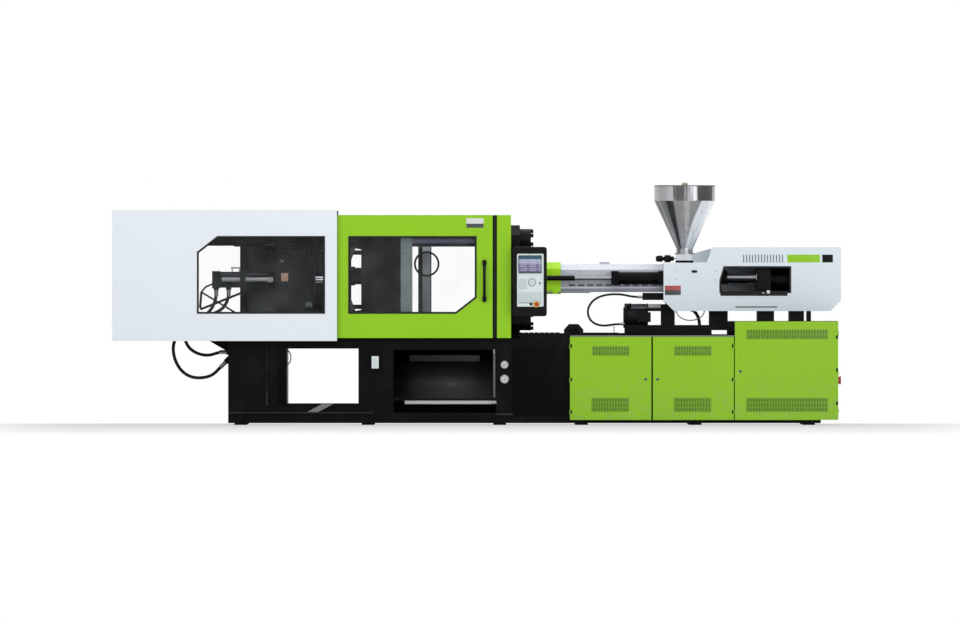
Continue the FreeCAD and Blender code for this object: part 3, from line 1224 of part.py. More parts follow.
def make_motor():
    """Finned electric motor held at the carriage's column by a neck, with bells and a box."""
    place = ("0", "motor_z")
    core = rod("x", place, ("motor_left + 60", "motor_right - 60"), "motor_dia - 44")
    bells = [rod("x", place, ("motor_left", "motor_left + 60"), "motor_dia"),
             rod("x", place, ("motor_right - 60", "motor_right"), "motor_dia")]
    fins = []
    for index in range(12):
        turn = 30 * index + 15
        fin = feature("Part::Box")
        bind(fin, Length="motor_right - motor_left - 120", Width="5", Height="motor_dia / 2 - 3",
             x="motor_left + 60", y=f"-2.5 * cos({turn} * 1 deg)",
             z=f"motor_z - 2.5 * sin({turn} * 1 deg)")
        fin.Placement.Rotation = FreeCAD.Rotation(Vector(1, 0, 0), turn)
        fins.append(fin)
    box = block(("motor_left + 150", "motor_left + 290"), ("-motor_dia / 2 - 40", "-90"),
                ("motor_z - 50", "motor_z + 60"))
    shroud = rod("x", place, ("motor_left - 12", "motor_left"), "motor_dia - 90")
    neck = block(("motor_right - 40", "column_left"), ("-60", "60"), ("motor_z + 70", "motor_z + 150"))
    return node("finned_motor", join(core, *bells, *fins, box, shroud, neck))


def make_casing():
    """Fixed cabinet panels: two far-side covers, the right end and the partition."""
    far_low = tray(("base_right", "cabinet_step", "plinth_top", "cabinet_top"), [], 1,
                   "base_half", "door_out")
    far_tall = tray(("cabinet_step", "cabinet_right", "plinth_top", "tall_cabinet_top"), [], 1,
                    "base_half", "door_out")
    end = block(("cabinet_right - sheet_metal", "cabinet_right"), ("-base_half", "base_half"),
                ("plinth_top", "tall_cabinet_top + 5"))
    wall = block(("cabinet_step - sheet_metal", "cabinet_step"), ("20 - base_half", "base_half - 20"),
                 ("plinth_top", "bed_top - 25"))
    return node("cabinet_casing", group(far_low, far_tall, end, wall))


def make_door(name, left, right, top, hinge, vents):
    """A folded cabinet door with slotted vents and the middle knuckles of its hinges."""
    low = "plinth_top"
    body = tray((left, right, low, top), [], -1, "base_half", "door_out")
    slots = []
    for count, rows in vents:
        row_long = f"({count - 1} * vent_pitch + vent_slot)"
        for row_low, row_high in rows:
            for index in range(count):
                x = f"({left} + {right} - {row_long}) / 2 + {index} * vent_pitch"
                slots.append(block((x, f"{x} + vent_slot"), ("-door_out - 2", "6 - door_out"),
                                   (row_low, row_high)))
    panel = carve(body, *slots)
    knuckles = [rod("z", (hinge, "-door_out"), (f"{low} + {share} * ({top} - {low}) - 25",
                                                f"{low} + {share} * ({top} - {low}) + 25"), "14")
                for share in (0.09, 0.48, 0.88)]
    return node(name, join(panel, *knuckles))


def make_doors():
    """The two low doors and the tall one; rows of vents low and high."""
    low_rows = (("plinth_top + 95", "plinth_top + 155"), ("plinth_top + 172", "plinth_top + 232"))
    top_rows = (("cabinet_top - 205", "cabinet_top - 110"),)
    tall_rows = (("tall_cabinet_top - 190", "tall_cabinet_top - 90"),)
    make_door("cabinet_door_left", "base_right", "cabinet_middle - 9", "cabinet_top", "base_right",
              ((8, low_rows), (8, top_rows)))
    make_door("cabinet_door_middle", "cabinet_middle + 9", "cabinet_step - 11", "cabinet_top",
              "cabinet_step - 11", ((8, low_rows), (8, top_rows)))
    make_door("cabinet_door_right", "cabinet_step", "cabinet_right", "tall_cabinet_top",
              "cabinet_right", ((16, low_rows), (16, tall_rows)))


def make_switch():
    """Main switch on the right end: a round base and a lever handle."""
    place = ("-400", "490")
    end = "cabinet_right"
    return node("main_switch", join(
        rod("x", place, (end, f"{end} + 16"), "76"),
        block((f"{end} + 16", f"{end} + 38"), ("-412", "-388"), ("446", "534"))))


def make_tank():
    """Oil tank on the plinth, with a bolted top, filler and return filter."""
    left, right = "base_right + 90", "cabinet_middle - 40"
    parts = [block((left, right), ("55 - base_half", "base_half - 55"), ("plinth_top", "600")),
             block((f"{left} - 8", f"{right} + 8"), ("43 - base_half", "base_half - 43"),
                   ("600", "612")),
             rod("z", (f"{left} + 180", "-450"), ("612", "700"), "110"),
             rod("z", (f"{right} - 180", "-450"), ("612", "800"), "160"),
             block((f"{left} + 340", f"{left} + 400"), ("20 - base_half", "55 - base_half"),
                   ("250", "480"))]
    return node("oil_tank", join(*parts))


def make_pump():
    """Motor and pump set on its base plate."""
    left = "cabinet_middle + 40"
    place = ("-250", "330")
    parts = [block((left, "cabinet_step - 60"), ("55 - base_half", "base_half - 55"),
                   ("plinth_top", "plinth_top + 20")),
             rod("x", place, (f"{left} + 90", f"{left} + 480"), "360"),
             rod("x", place, (f"{left} + 480", f"{left} + 600"), "230"),
             rod("x", place, (f"{left} + 600", f"{left} + 760"), "170"),
             block((f"{left} + 140", f"{left} + 430"), ("-400", "-100"), ("plinth_top + 20", "330")),
             block((f"{left} + 620", f"{left} + 740"), ("-330", "-170"),
                   ("plinth_top + 20", "330")),
             block((f"{left} + 200", f"{left} + 600"), ("150", "520"), ("plinth_top + 20", "480"))]
    return node("pump_unit", join(*parts))


def make_rack():
    """Electrical back plate on two uprights with rows of modules."""
    left = "cabinet_step + 10"
    right = "cabinet_step + rack_bay"
    parts = [block((x, f"{x} + 40"), ("200", "240"), ("plinth_top", "tall_cabinet_top - 24"))
             for x in (left, right)]
    parts.append(block((left, f"{right} + 40"), ("196", "200"), ("120", "tall_cabinet_top - 60")))
    for low, tall, deep in ((180, 170, 120), (430, 140, 90), (650, 200, 160), (910, 110, 80)):
        for index in range(5):
            x = f"{left} + 60 + {index} * 165"
            parts.append(block((x, f"{x} + 120"), (f"196 - {deep}", "196"),
                               (f"{low}", f"{low + tall}")))
    return node("electrical_rack", join(*parts))


# ---------------------------------------------------------------- hoses

def route(points, diameter):
    """Path of a hose: straight runs joined by arcs as large as the two runs allow."""
    corners = [Vector(*point) for point in points]
    edges = []
    start = corners[0]
    radii = []
    for before, corner, after in zip(corners, corners[1:], corners[2:]):
        inward = (corner - before)
        onward = (after - corner)
        turn = inward.getAngle(onward)
        cut = 0.45 * min(inward.Length, onward.Length)
        radius = cut / math.tan(turn / 2)
        radii.append(round(radius))
        inward.normalize()
        onward.normalize()
        enter = corner - inward * cut
        leave = corner + onward * cut
        inside = onward - inward
        inside.normalize()
        middle = corner + inside * (radius / math.cos(turn / 2) - radius)
        edges.append(Part.LineSegment(start, enter).toShape())
        edges.append(Part.Arc(enter, middle, leave).toShape())
        start = leave
    edges.append(Part.LineSegment(start, corners[-1]).toShape())
    print("radii", radii, "smallest in diameters", round(min(radii) / diameter, 1))
    return Part.Wire(edges)


def make_hose(name, points, diameter):
    """A plain tube along a route."""
    path = route(points, diameter)
    along = Vector(*points[1]) - Vector(*points[0])
    ring = Part.Wire([Part.Circle(Vector(*points[0]), along, diameter / 2).toShape()])
    tube = path.makePipe(Part.Face(ring))
    full = math.pi * diameter ** 2 / 4 * path.Length
    print(name, "length", round(path.Length), "volume share", round(tube.Volume / full, 4))
    item = doc.addObject("Part::Feature", "hose")
    item.Shape = tube
    return node(name, item)


doc.recompute()
make_base()
make_injection_frame()
make_feet()
make_fittings()
make_fixed_platen()
make_tie_bars()
make_tie_nuts()
make_tail_platen()
make_adjusting_nuts()
make_moving_platen()
make_toggle(1, "upper")
make_toggle(-1, "lower")
make_crosshead()
make_clamp_cylinder()
make_piston_rod()
make_ejector()
make_guard_frame()
make_front_guard()
make_rear_guard()
make_guard_panes()
make_post_covers()
make_gate(-1, "front_gate")
make_gate(1, "rear_gate")
make_gate_handles(-1, "front_gate_handle")
make_panel()
make_panel_arm()
make_estop()
make_purge_guard()
make_barrel_cover()
make_barrel()
make_screw()
make_seat_cylinders()
make_platen_rods()
make_throat_block()
make_carriage_rails()
make_cable_chain()
make_housing()
make_hopper()
make_lid()
make_shutter()
make_thrust_unit()
make_injection_cylinders()
make_motor()
make_casing()
make_doors()
make_switch()
make_tank()
make_pump()
make_rack()
make_hose("clamp_hose_long", LONG_HOSE, size("big_hose"))
make_hose("clamp_hose_short", SHORT_HOSE, size("big_hose"))
make_hose("injection_hose", LOOP_HOSE, size("hose_dia"))

doc.recompute()
faults = [item.Label for item in doc.Objects if "Invalid" in item.State or "Error" in item.State]
if faults:
    raise RuntimeError("these objects failed: " + ", ".join(faults))
for part in nodes:
    if part.Shape.isNull() or not part.Shape.isValid():
        raise RuntimeError(part.Label + " has no valid shape")
os.makedirs("parts", exist_ok=True)
for part in nodes:
    part.Shape.exportStep("parts/" + part.Label + ".step")
print(len(nodes), "sub-parts written")
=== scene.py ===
"""Studio dressing of the injection moulding machine: finishes for its solids and the small
pieces around them. Lengths are metres in the machine's own frame: X runs from the clamp end
to the injection end, the operator stands at -Y, Z is up."""

import json

import bpy
import numpy as np
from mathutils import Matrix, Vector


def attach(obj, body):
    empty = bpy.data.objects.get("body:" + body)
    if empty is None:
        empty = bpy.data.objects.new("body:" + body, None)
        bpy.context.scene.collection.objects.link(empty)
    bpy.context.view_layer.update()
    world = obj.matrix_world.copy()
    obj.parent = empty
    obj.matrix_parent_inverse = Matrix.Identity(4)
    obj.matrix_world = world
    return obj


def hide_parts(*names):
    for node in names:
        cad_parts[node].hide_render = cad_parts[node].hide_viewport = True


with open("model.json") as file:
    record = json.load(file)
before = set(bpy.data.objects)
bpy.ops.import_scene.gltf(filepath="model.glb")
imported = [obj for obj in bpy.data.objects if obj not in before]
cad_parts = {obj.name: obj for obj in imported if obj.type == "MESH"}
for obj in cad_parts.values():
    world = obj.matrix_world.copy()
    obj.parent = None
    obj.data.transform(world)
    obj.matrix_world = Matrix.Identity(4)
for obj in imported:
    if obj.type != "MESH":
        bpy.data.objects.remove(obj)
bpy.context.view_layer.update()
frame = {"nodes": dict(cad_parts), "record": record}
nodes = frame["nodes"]
scene = bpy.context.scene

# the machine's own axis, the hopper's axis, the lower edge of its drum and that of its cone
AXIS_Z, HOPPER_X, DRUM_LOW, CONE_LOW = 1.600, 2.294, 2.470, 1.940


# ---- shader arithmetic


def linear(colour, factor=1.0):
    """Linear light of an sRGB colour given in 0 to 255, by the standard power curve, times
    the factor; opaque."""
    s = np.array(colour) / 255.0
    light = np.where(s <= 0.04045, s / 12.92, ((s + 0.055) / 1.055) ** 2.4)
    return (*np.minimum(light * factor, 1.0).tolist(), 1.0)


def operator(operation, swapped=False):
    """A method that adds one Math node for a value and its terms, or for them swapped."""
    return lambda value, *terms: value.math(operation, *((*terms, value) if swapped else (value, *terms)))


class Value:
    """A number or a colour in a tree; each Python operator adds its Math node."""

    def __init__(self, tree, socket):
        self.tree, self.socket = tree, socket

    def math(self, operation, *terms):
        return self.tree.node("Math", {"operation": operation}, dict(enumerate(terms)))

    __add__ = __radd__ = operator("ADD")
    __mul__ = __rmul__ = operator("MULTIPLY")
    __sub__, __rsub__ = operator("SUBTRACT"), operator("SUBTRACT", True)
    __truediv__, __pow__ = operator("DIVIDE"), operator("POWER")
    __gt__, __lt__ = operator("GREATER_THAN"), operator("LESS_THAN")
    __abs__, sine = operator("ABSOLUTE"), operator("SINE")
    both, either, angle_to = operator("MINIMUM"), operator("MAXIMUM"), operator("ARCTAN2")

    def rise(self, low, high):
        """Nought below low, one above high and a smooth step between them."""
        between = {"Value": self, "From Min": low, "From Max": high}
        return self.tree.node("MapRange", {"interpolation_type": "SMOOTHSTEP"}, between)


class Nodes:
    """A tree of shader nodes; most methods add a node and give its output."""

    def __init__(self, tree):
        self.tree = tree

    def feed(self, socket, value):
        if isinstance(value, Value):
            self.tree.links.new(value.socket, socket)
        else:
            socket.default_value = value

    def node(self, kind, settings, inputs, output=0):
        """Adds a node: its settings first, then the values or links of its sockets."""
        made = self.tree.nodes.new("ShaderNode" + kind)
        for name, value in settings.items():
            setattr(made, name, value)
        for name, value in inputs.items():
            self.feed(made.inputs[name], value)
        return Value(self, made.outputs[output])

    def place(self, stretch=(1, 1, 1)):
        """Object coordinates, drawn out by the given factors."""
        place = self.node("TexCoord", {}, {}, "Object")
        return self.node("Mapping", {}, {"Vector": place, "Scale": stretch})

    def xyz(self):
        place = self.node("TexCoord", {}, {}, "Object")
        split = self.node("SeparateXYZ", {}, {"Vector": place})
        return [Value(self, socket) for socket in split.socket.node.outputs]

    def noise(self, scale, detail=2.0, stretch=(1, 1, 1)):
        """Soft random values from 0 to 1, about 1/scale metres apart."""
        return self.node("TexNoise", {}, {"Vector": self.place(stretch), "Scale": scale, "Detail": detail})

    def cells(self, scale):
        """Distance to the nearest of scattered points, about 1/scale metres apart."""
        return self.node("TexVoronoi", {}, {"Vector": self.place(), "Scale": scale}, "Distance")

    def mix(self, factor, first, second):
        """Colour between two colours; three numbers are an sRGB colour in 0 to 255."""
        ends = [linear(c) if isinstance(c, tuple) and len(c) == 3 else c for c in (first, second)]
        return self.node("Mix", {"data_type": "RGBA"}, {0: factor, 6: ends[0], 7: ends[1]}, 2)

    def looked_at(self):
        """One on the camera's rays, also through glass or by a gloss, and nought on others."""
        camera, glass, gloss = [
            self.node("LightPath", {}, {}, f"Is {kind} Ray") for kind in ("Camera", "Transmission", "Glossy")
        ]
        return camera.either(glass).either(gloss)


class Finish(Nodes):
    """One material: a principled shader and the nodes that feed it."""

    def __init__(self, name, constants):
        self.material = bpy.data.materials.new(name)
        self.material.use_nodes = True
        super().__init__(self.material.node_tree)
        self.shader = self.tree.nodes["Principled BSDF"]
        self.set(constants)

    def set(self, values):
        for name, value in values.items():
            self.feed(self.shader.inputs[name], value)

    def painted(self, colour, rough, height=None, distance=0.0, strength=0.5):
        """The material, fed with its colour and roughness and, where a height of 0 to 1 is
        given, with the normal of a relief that is `distance` metres high."""
        self.set({"Base Color": colour, "Roughness": rough})
        if height is not None:
            relief = {"Height": height, "Distance": distance, "Strength": strength}
            self.set({"Normal": self.node("Bump", {}, relief)})
        return self.material


# ---- finishes


def powder_coat(name, colour, rough=0.38, dust=0.0, drift=0.05, dark_inside=None):
    """Baked paint: orange peel from fine noise, a slow drift of shade, faint wiping marks,
    dust that thins out upwards from the floor, and black where the given inside function
    says: a function of x, y and z that gives 1 on the inside. That black is partly the
    inside's dark paint and partly painted shade."""
    f = Finish(name, {"Specular IOR Level": 0.3, "Coat Weight": 0.12, "Coat Roughness": 0.18})
    x, y, z = f.xyz()
    slow, wiped = f.noise(0.9, 3), f.noise(7, 4, (0.3, 0.3, 2.5))
    shade = f.mix(slow, linear(colour, 1 - drift), linear(colour, 1 + drift))
    settled = (1 - z.rise(0.0, 0.9)) * f.noise(14, 5).rise(0.35, 0.75) * dust
    # inside faces black: partly dark paint, partly painted shade
    if dark_inside:
        shade = f.mix(dark_inside(x, y, z), shade, (20, 20, 21))
    return f.painted(
        f.mix(settled, shade, (150, 146, 138)),
        rough + 0.10 * (wiped - 0.5) + 0.3 * settled,
        f.noise(420, 1) * 0.7 + f.noise(60, 2) * 0.3, 0.00035,
    )


def black_enamel(name, shade=12, rough=0.42, dust=0.25):
    """Brushed-on black: soft runs, chalky dust and rubbed spots that shine a little."""
    f = Finish(name, {"Specular IOR Level": 0.06})
    rubbed = f.noise(5, 5, (1, 1, 0.4)).rise(0.52, 0.72)
    settled = f.noise(3.2, 6).rise(0.45, 0.8) * dust
    base = f.mix(rubbed, (shade, shade, shade), (shade + 9, shade + 9, shade + 10))
    return f.painted(
        f.mix(settled * 0.12, base, (110, 106, 100)),
        rough + 0.18 * settled - 0.08 * rubbed,
        f.noise(160, 3) * 0.6 + f.noise(24, 2) * 0.4, 0.0006, 0.6,
    )


def cast_black(name, machined_and_sheen=None, metal=(146, 148, 152), light=1.0):
    """Sand-cast iron under black enamel, with bare milled faces where the given mask says: a
    function of x, y and z that gives 1 there. On the motor and the clamp cylinder the mask
    marks painted highlights and sheens instead."""
    f = Finish(name, {"Specular IOR Level": 0.12})
    x, y, z = f.xyz()
    grain, pits = f.noise(90, 4), f.cells(240)
    # the mask gives milled faces, and on some parts a painted highlight or sheen
    bare = machined_and_sheen(x, y, z) if machined_and_sheen else 0.0
    milled = f.noise(300, 2, (0.02, 1, 1))
    steel = f.mix(milled, linear(metal, 0.64), linear(metal, 1.4))
    oily = f.noise(4, 4).rise(0.4, 0.7)
    dark = f.mix(oily, linear((11, 11, 12), light), linear((20, 20, 21), light))
    f.set({"Metallic": bare * 0.9})
    rough = 0.5 - 0.12 * oily - bare * 0.12
    return f.painted(f.mix(bare, dark, steel), rough, grain * 0.7 + pits * 0.3, 0.0005, 0.6)


def drawn_steel(name, colour, rough=0.3, along="x", scale=260, metallic=1.0):
    """Bare metal with the lines of its drawing or turning: noise stretched along one axis."""
    f = Finish(name, {"Metallic": metallic})
    stretch = {"x": (0.015, 1, 1), "y": (1, 0.015, 1), "z": (1, 1, 0.015), "r": (1, 0.04, 0.04)}[along]
    lines, stains = f.noise(scale, 3, stretch), f.noise(6, 5)
    shade = f.mix(lines, linear(colour, 0.86), linear(colour, 1.12))
    return f.painted(
        f.mix(stains.rise(0.5, 0.8) * 0.35, shade, linear(colour, 0.6)),
        rough + 0.14 * (lines - 0.5) + 0.12 * stains.rise(0.45, 0.8),
        lines, 0.00012, 0.6,
    )


def cover_sheet(name):
    """Brushed cover sheet of the barrel, with painted shade: pale above and darker towards its
    lower edge, and a painted highlight as one pale line along the fold."""
    f = Finish(name, {"Metallic": 0.6})
    x, y, z = f.xyz()
    brushed, flecks = f.noise(320, 3, (0.02, 1, 1)), f.noise(60, 4, (0.4, 1, 1)).rise(0.56, 0.7)
    upper = f.mix(flecks * 0.6, (186, 190, 198), (140, 144, 152))
    # painted shade: darker below z 1.64, and darker again near the lower edge
    shade = f.mix(z.rise(1.600, 1.640), (150, 155, 163), upper)
    shade = f.mix(1 - z.rise(1.485, 1.510), shade, (116, 121, 128))
    # painted highlight: a pale line along the fold at z 1.512
    shade = f.mix(abs(z - 1.512) < 0.006, shade, (200, 204, 210))
    return f.painted(f.mix(brushed * 0.3, shade, (160, 164, 172)), 0.34 + 0.12 * brushed, brushed, 0.00012)


def hopper_sheet(name):
    """Polished stainless of the hopper, with painted reflections: streaks of a dark hall and its
    bright doors are painted down the drum and the cone; each lies between two shares of the
    width, counted from the left edge, which is half of one plus the cosine of the angle round
    the hopper. Painted glints, light and dark, run along the slant."""
    f = Finish(name, {"Metallic": 0.8, "Specular IOR Level": 0.4})
    x, y, z = f.xyz()
    across = x - HOPPER_X
    share = 0.5 + 0.5 * across / (across * across + y * y) ** 0.5
    lines, handled = f.noise(420, 2, (0.03, 0.03, 1)), f.noise(9, 4)
    wavy = share + 0.03 * (f.noise(5, 3, (1, 1, 0.25)) - 0.5)

    def painted_reflections(base, reflection_bands):
        shade = (base, base, base + 4)
        for low, high, grey, lean in reflection_bands:
            at = wavy + lean * (DRUM_LOW - z)
            inside = at.rise(low - 0.012, low + 0.012) * (1 - at.rise(high - 0.012, high + 0.012))
            shade = f.mix(inside, shade, (grey, grey, grey + 2))
        return shade

    # painted reflections: grey bands on the drum and the cone
    drum = painted_reflections(176, [(0.30, 0.54, 58, 0), (0.54, 0.64, 116, 0), (0.70, 0.96, 30, 0)])
    cone = painted_reflections(156, [(-0.1, 0.06, 70, 0), (0.07, 0.13, 176, 0), (0.19, 0.30, 34, 0),
                          (0.48, 0.58, 190, -0.1), (0.77, 1.1, 253, 0.36)])
    shade = f.mix(z > DRUM_LOW, f.mix(z < CONE_LOW, cone, (150, 152, 156)), drum)
    # painted glints: light and dark streaks stretched up the slant
    painted_glints = f.noise(26, 3, (1, 1, 0.10))
    shade = f.mix(painted_glints.rise(0.55, 0.75) * 0.4, shade, (214, 216, 220))
    shade = f.mix((1 - painted_glints).rise(0.58, 0.78) * 0.4, shade, (46, 46, 50))
    return f.painted(
        f.mix(lines * 0.25, shade, (190, 190, 192)),
        0.26 + 0.10 * lines + 0.14 * handled.rise(0.5, 0.8),
        lines, 0.0001, 0.4,
    )


def moulded_plastic(name, colour, rough=0.45, shine=0.45):
    """Injection-moulded plastic: spark-eroded grain from cells, shade drift and finger shine."""
    f = Finish(name, {"Specular IOR Level": shine})
    touched = f.noise(18, 3).rise(0.45, 0.75)
    shade = f.mix(f.noise(2.2, 2), linear(colour, 0.93), linear(colour, 1.07))
    return f.painted(shade, rough - 0.12 * touched, f.cells(900), 0.0001)


def clear_sheet(name):
    """Polycarbonate pane: mostly see-through, with wiping haze and fine scratches."""
    f = Finish(name, {"Specular IOR Level": 0.6})
    haze, scratch = f.noise(3.5, 4), f.noise(240, 2, (0.05, 1, 1)).rise(0.62, 0.72)
    f.set({"Alpha": 0.01 + 0.02 * haze.rise(0.35, 0.75) + 0.02 * scratch})
    return f.painted(f.mix(haze, (196, 206, 212), (222, 230, 234)), 0.04 + 0.2 * scratch + 0.06 * haze)


def rubber(name, shade=10):
    """Hose and gasket rubber: bloom, cloth impression from crossed waves, dull sheen."""
    f = Finish(name, {"Sheen Weight": 0.05, "Specular IOR Level": 0.25})
    x, y, z = f.xyz()
    weave = ((x + z) * 1400).sine() * ((x - z + y) * 1400).sine()
    bloom = f.noise(20, 4)
    colour = f.mix(bloom, (shade, shade, shade), (shade + 16, shade + 16, shade + 17))
    return f.painted(colour, 0.5 + 0.16 * bloom, weave * 0.5 + 0.5, 0.00025)


def screen_picture(name):
    """Generic page of a machine's display in Object coordinates: a blue head bar, a violet
    field with pale rows over a darker one. No words."""
    f = Finish(name, {"Emission Strength": 0.05, "Coat Weight": 0.1, "Coat Roughness": 0.1})
    x, y, z = f.xyz()
    head, foot = z.rise(1.8225, 1.8235), 1 - z.rise(1.694, 1.695)
    rows = ((z * 260).sine() > 0.2) * ((x * 62 + 1.2).sine() > -0.55)
    lower = 1 - z.rise(1.765, 1.780)
    back = f.mix(lower, (160, 166, 190), (122, 112, 152))
    field = f.mix(rows * 0.6, back, (188, 190, 206))
    graph = abs(z - 1.735 - 0.012 * (x * 60).sine()) < 0.0022
    page = f.mix(graph, field, (90, 76, 130))
    shown = f.mix(head, f.mix(foot, page, (90, 84, 112)), (40, 78, 100))
    f.set({"Emission Color": shown})
    return f.painted(shown, 0.18 + 0.05 * f.noise(40))


def dial_face(name, x0, z0, span):
    """White gauge face: a ring of tick marks by angle and radius, and a red arc."""
    f = Finish(name, {"Coat Weight": 1.0, "Coat Roughness": 0.03})
    x, y, z = f.xyz()
    across, up = x - x0, z - z0
    radius = (across * across + up * up) ** 0.5
    angle = up.angle_to(across)
    ticks = ((angle * 30).sine() > 0.55).both(radius > span * 0.70).both(radius < span * 0.86)
    arc = (abs(radius - span * 0.92) < span * 0.03).both(angle > -0.6).both(angle < 0.7)
    face = f.mix(ticks, (204, 204, 202), (60, 60, 60))
    return f.painted(f.mix(arc, face, (190, 40, 34)), 0.3 + 0.05 * f.noise(60))


def striped_plate(name, top, bottom, split):
    """Enamelled plate in two plain fields that meet at height `split`, slightly worn."""
    f = Finish(name, {"Coat Weight": 0.4})
    x, y, z = f.xyz()
    worn = f.noise(120, 4).rise(0.62, 0.8) * 0.4
    fields = f.mix(z > split, bottom, top)
    return f.painted(f.mix(worn, fields, (150, 150, 150)), 0.35 + 0.2 * worn)


GATE_GREEN, CABINET_GREEN = (147, 205, 20), (142, 194, 22)
GUARD_WHITE, HOUSING_WHITE = (237, 244, 251), (227, 238, 246)

ENAMEL = black_enamel("black_enamel")
DEEP_BLACK = black_enamel("inner_black", 4, 0.6, 0.1)
GREEN_GATE = powder_coat("gate_green_coat", GATE_GREEN)
GREEN_CABINET = powder_coat("cabinet_green_coat", CABINET_GREEN, dust=0.18)
WHITE_GUARD = powder_coat("guard_white_coat", GUARD_WHITE, drift=0.02)
WHITE_HOUSING = powder_coat("housing_white_coat", HOUSING_WHITE, drift=0.02)
CAST = cast_black("cast_black")
CHROME = drawn_steel("ground_chrome", (205, 208, 214), 0.14, "r", 420)
STEEL = drawn_steel("turned_steel", (150, 152, 156), 0.34)
COVER_STEEL = cover_sheet("cover_sheet")
DULL_STEEL = drawn_steel("dull_steel", (84, 90, 92), 0.5, "z", 200, 0.4)
LINK_STEEL = drawn_steel("link_steel", (96, 97, 100), 0.42, "z", 160)
ZINC = drawn_steel("zinc_plate", (172, 172, 168), 0.38, "z", 340)
BRASS = drawn_steel("brass_plate", (150, 124, 104), 0.5, "y", 300, 0.5)
BLACK_PLASTIC = moulded_plastic("black_plastic_grain", (13, 13, 14), shine=0.12)
PALE_PLASTIC = moulded_plastic("pale_overlay", (222, 232, 234), 0.42)
KEY_FIELD = moulded_plastic("key_field", (190, 205, 204), 0.45)
KEY_PLASTIC = moulded_plastic("key_plastic", (206, 219, 219), 0.5)
SHOWN_GREY = moulded_plastic("soft_grey_print", (136, 150, 148), 0.5)
RED_PLASTIC = moulded_plastic("red_button", (172, 46, 48), 0.4)
YELLOW_PLASTIC = moulded_plastic("yellow_plate", (238, 200, 42), 0.4)
RUBBER = rubber("hose_rubber_cloth")
GASKET = rubber("gasket_rubber", 9)
PANE = clear_sheet("clear_pane_sheet")
RACK_GREY = powder_coat("rack_grey_coat", (168, 172, 172), 0.5)
SLOT_DARK = moulded_plastic("slot_shadow", (26, 34, 12), 0.8)
VENT_GREEN = powder_coat("vent_green_coat", (116, 162, 30))
BEIGE_PLASTIC = moulded_plastic("knob_beige", (192, 174, 154), 0.5)
GREEN_SLOT = moulded_plastic("vent_shadow", (60, 92, 22), 0.7)
# a lighter black for the lever, the thin lines and the base ledge
GREYISH_BLACK = black_enamel("greyish_black_enamel", 44, 0.4)
GREY_ENAMEL = black_enamel("grey_enamel", 128, 0.45)
LINE_GREY = moulded_plastic("conduit_grey", (128, 128, 126), 0.5)

BY_SLOT = {
    "black_paint": ENAMEL, "platen_black": CAST, "bare_steel": STEEL, "chromed": CHROME,
    "link_steel": LINK_STEEL, "white_paint": WHITE_GUARD, "gate_green": GREEN_GATE,
    "cabinet_green": GREEN_CABINET, "clear_pane": PANE, "black_plastic": BLACK_PLASTIC,
    "red_plastic": RED_PLASTIC, "rack_grey": RACK_GREY, "hose_rubber": RUBBER,
}
# nearer to the middle plane than this the guards and the far gate are black: partly their dark inner paint,
# partly painted shade of the guard's inside
GUARD_SKIN, GATE_SKIN = 0.9275, 0.8775
BY_NODE = {
    "injection_housing": WHITE_HOUSING,
    "barrel_cover": COVER_STEEL,
    "moving_platen": cast_black("moving_platen_faces", lambda x, y, z: x > -0.84, (104, 116, 116)),
    "fixed_platen": cast_black("fixed_platen_faces", lambda x, y, z: x < 0.21, (104, 116, 116)),
    "tie_bars": cast_black("tie_bar_faces", lambda x, y, z: x > -0.85, (88, 90, 108)),
    "adjusting_nuts": cast_black("nut_faces", lambda x, y, z: (y * 260).sine() > 0.8, (60, 60, 62)),
    # painted highlight: a pale band along the near side of the clamp cylinder at its axis height
    "clamp_cylinder": cast_black(
        "cylinder_painted_highlight", lambda x, y, z: (abs(z - AXIS_Z) < 0.027) * (y < 0) * (abs(x + 2.535) < 0.285),
        (150, 152, 156)),
    # painted light: a lighter green than the gate's, lifting the control panel's shadow on the purge guard
    "purge_guard": powder_coat("purge_green_coat", (186, 250, 26)),
    "carriage": cast_black("carriage_faces", lambda x, y, z: z > 1.812, (190, 194, 200), 0.4),
    # painted shade: the thrust unit's black is dimmed to a fifth for the shade inside the housing
    "thrust_unit": cast_black(
        "thrust_faces", lambda x, y, z: (x < 3.085) * (abs(y) > 0.2) * (abs(z - 1.631) < 0.03), light=0.2),
    "hopper": hopper_sheet("hopper_sheet"),
    "hopper_lid": drawn_steel("lid_sheet", (104, 104, 106), 0.3, "x", 300),
    "guard_frame": DEEP_BLACK,
    "guard_front": powder_coat(
        "guard_front_coat", GUARD_WHITE, drift=0.02, dark_inside=lambda x, y, z: y > -GUARD_SKIN),
    "guard_rear": powder_coat(
        "guard_rear_coat", GUARD_WHITE, drift=0.02,
        dark_inside=lambda x, y, z: (y < GUARD_SKIN) * (x > -4.0135)),
    "rear_gate": powder_coat("rear_gate_coat", GATE_GREEN, dark_inside=lambda x, y, z: y < GATE_SKIN),
    "carriage_rails": cast_black("rail_faces", lambda x, y, z: z > 1.0115),
    # painted sheen: the motor's top, above z 1.275, takes the pale metal colour
    "finned_motor": cast_black("motor_painted_sheen", lambda x, y, z: z.rise(1.275, 1.300)),
    "platen_rods": cast_black("rod_sleeves", lambda x, y, z: 1 - (abs(y) > 0.25) * (x < 1.0785)),
    "base_fittings": cast_black("drain_pipe", lambda x, y, z: (z < 0.29) * (x < 0.2145), (226, 226, 226)),
    "injection_frame": ENAMEL,
    "levelling_feet": ENAMEL,
}
slot_of = {row["node"]: row["material_slot"] for row in frame["record"]["subparts"]}
for name, solid in nodes.items():
    solid.data.materials.clear()
    solid.data.materials.append(BY_NODE.get(name) or BY_SLOT[slot_of[name]])


# ---- surfaces

X, Y, Z = np.eye(3)
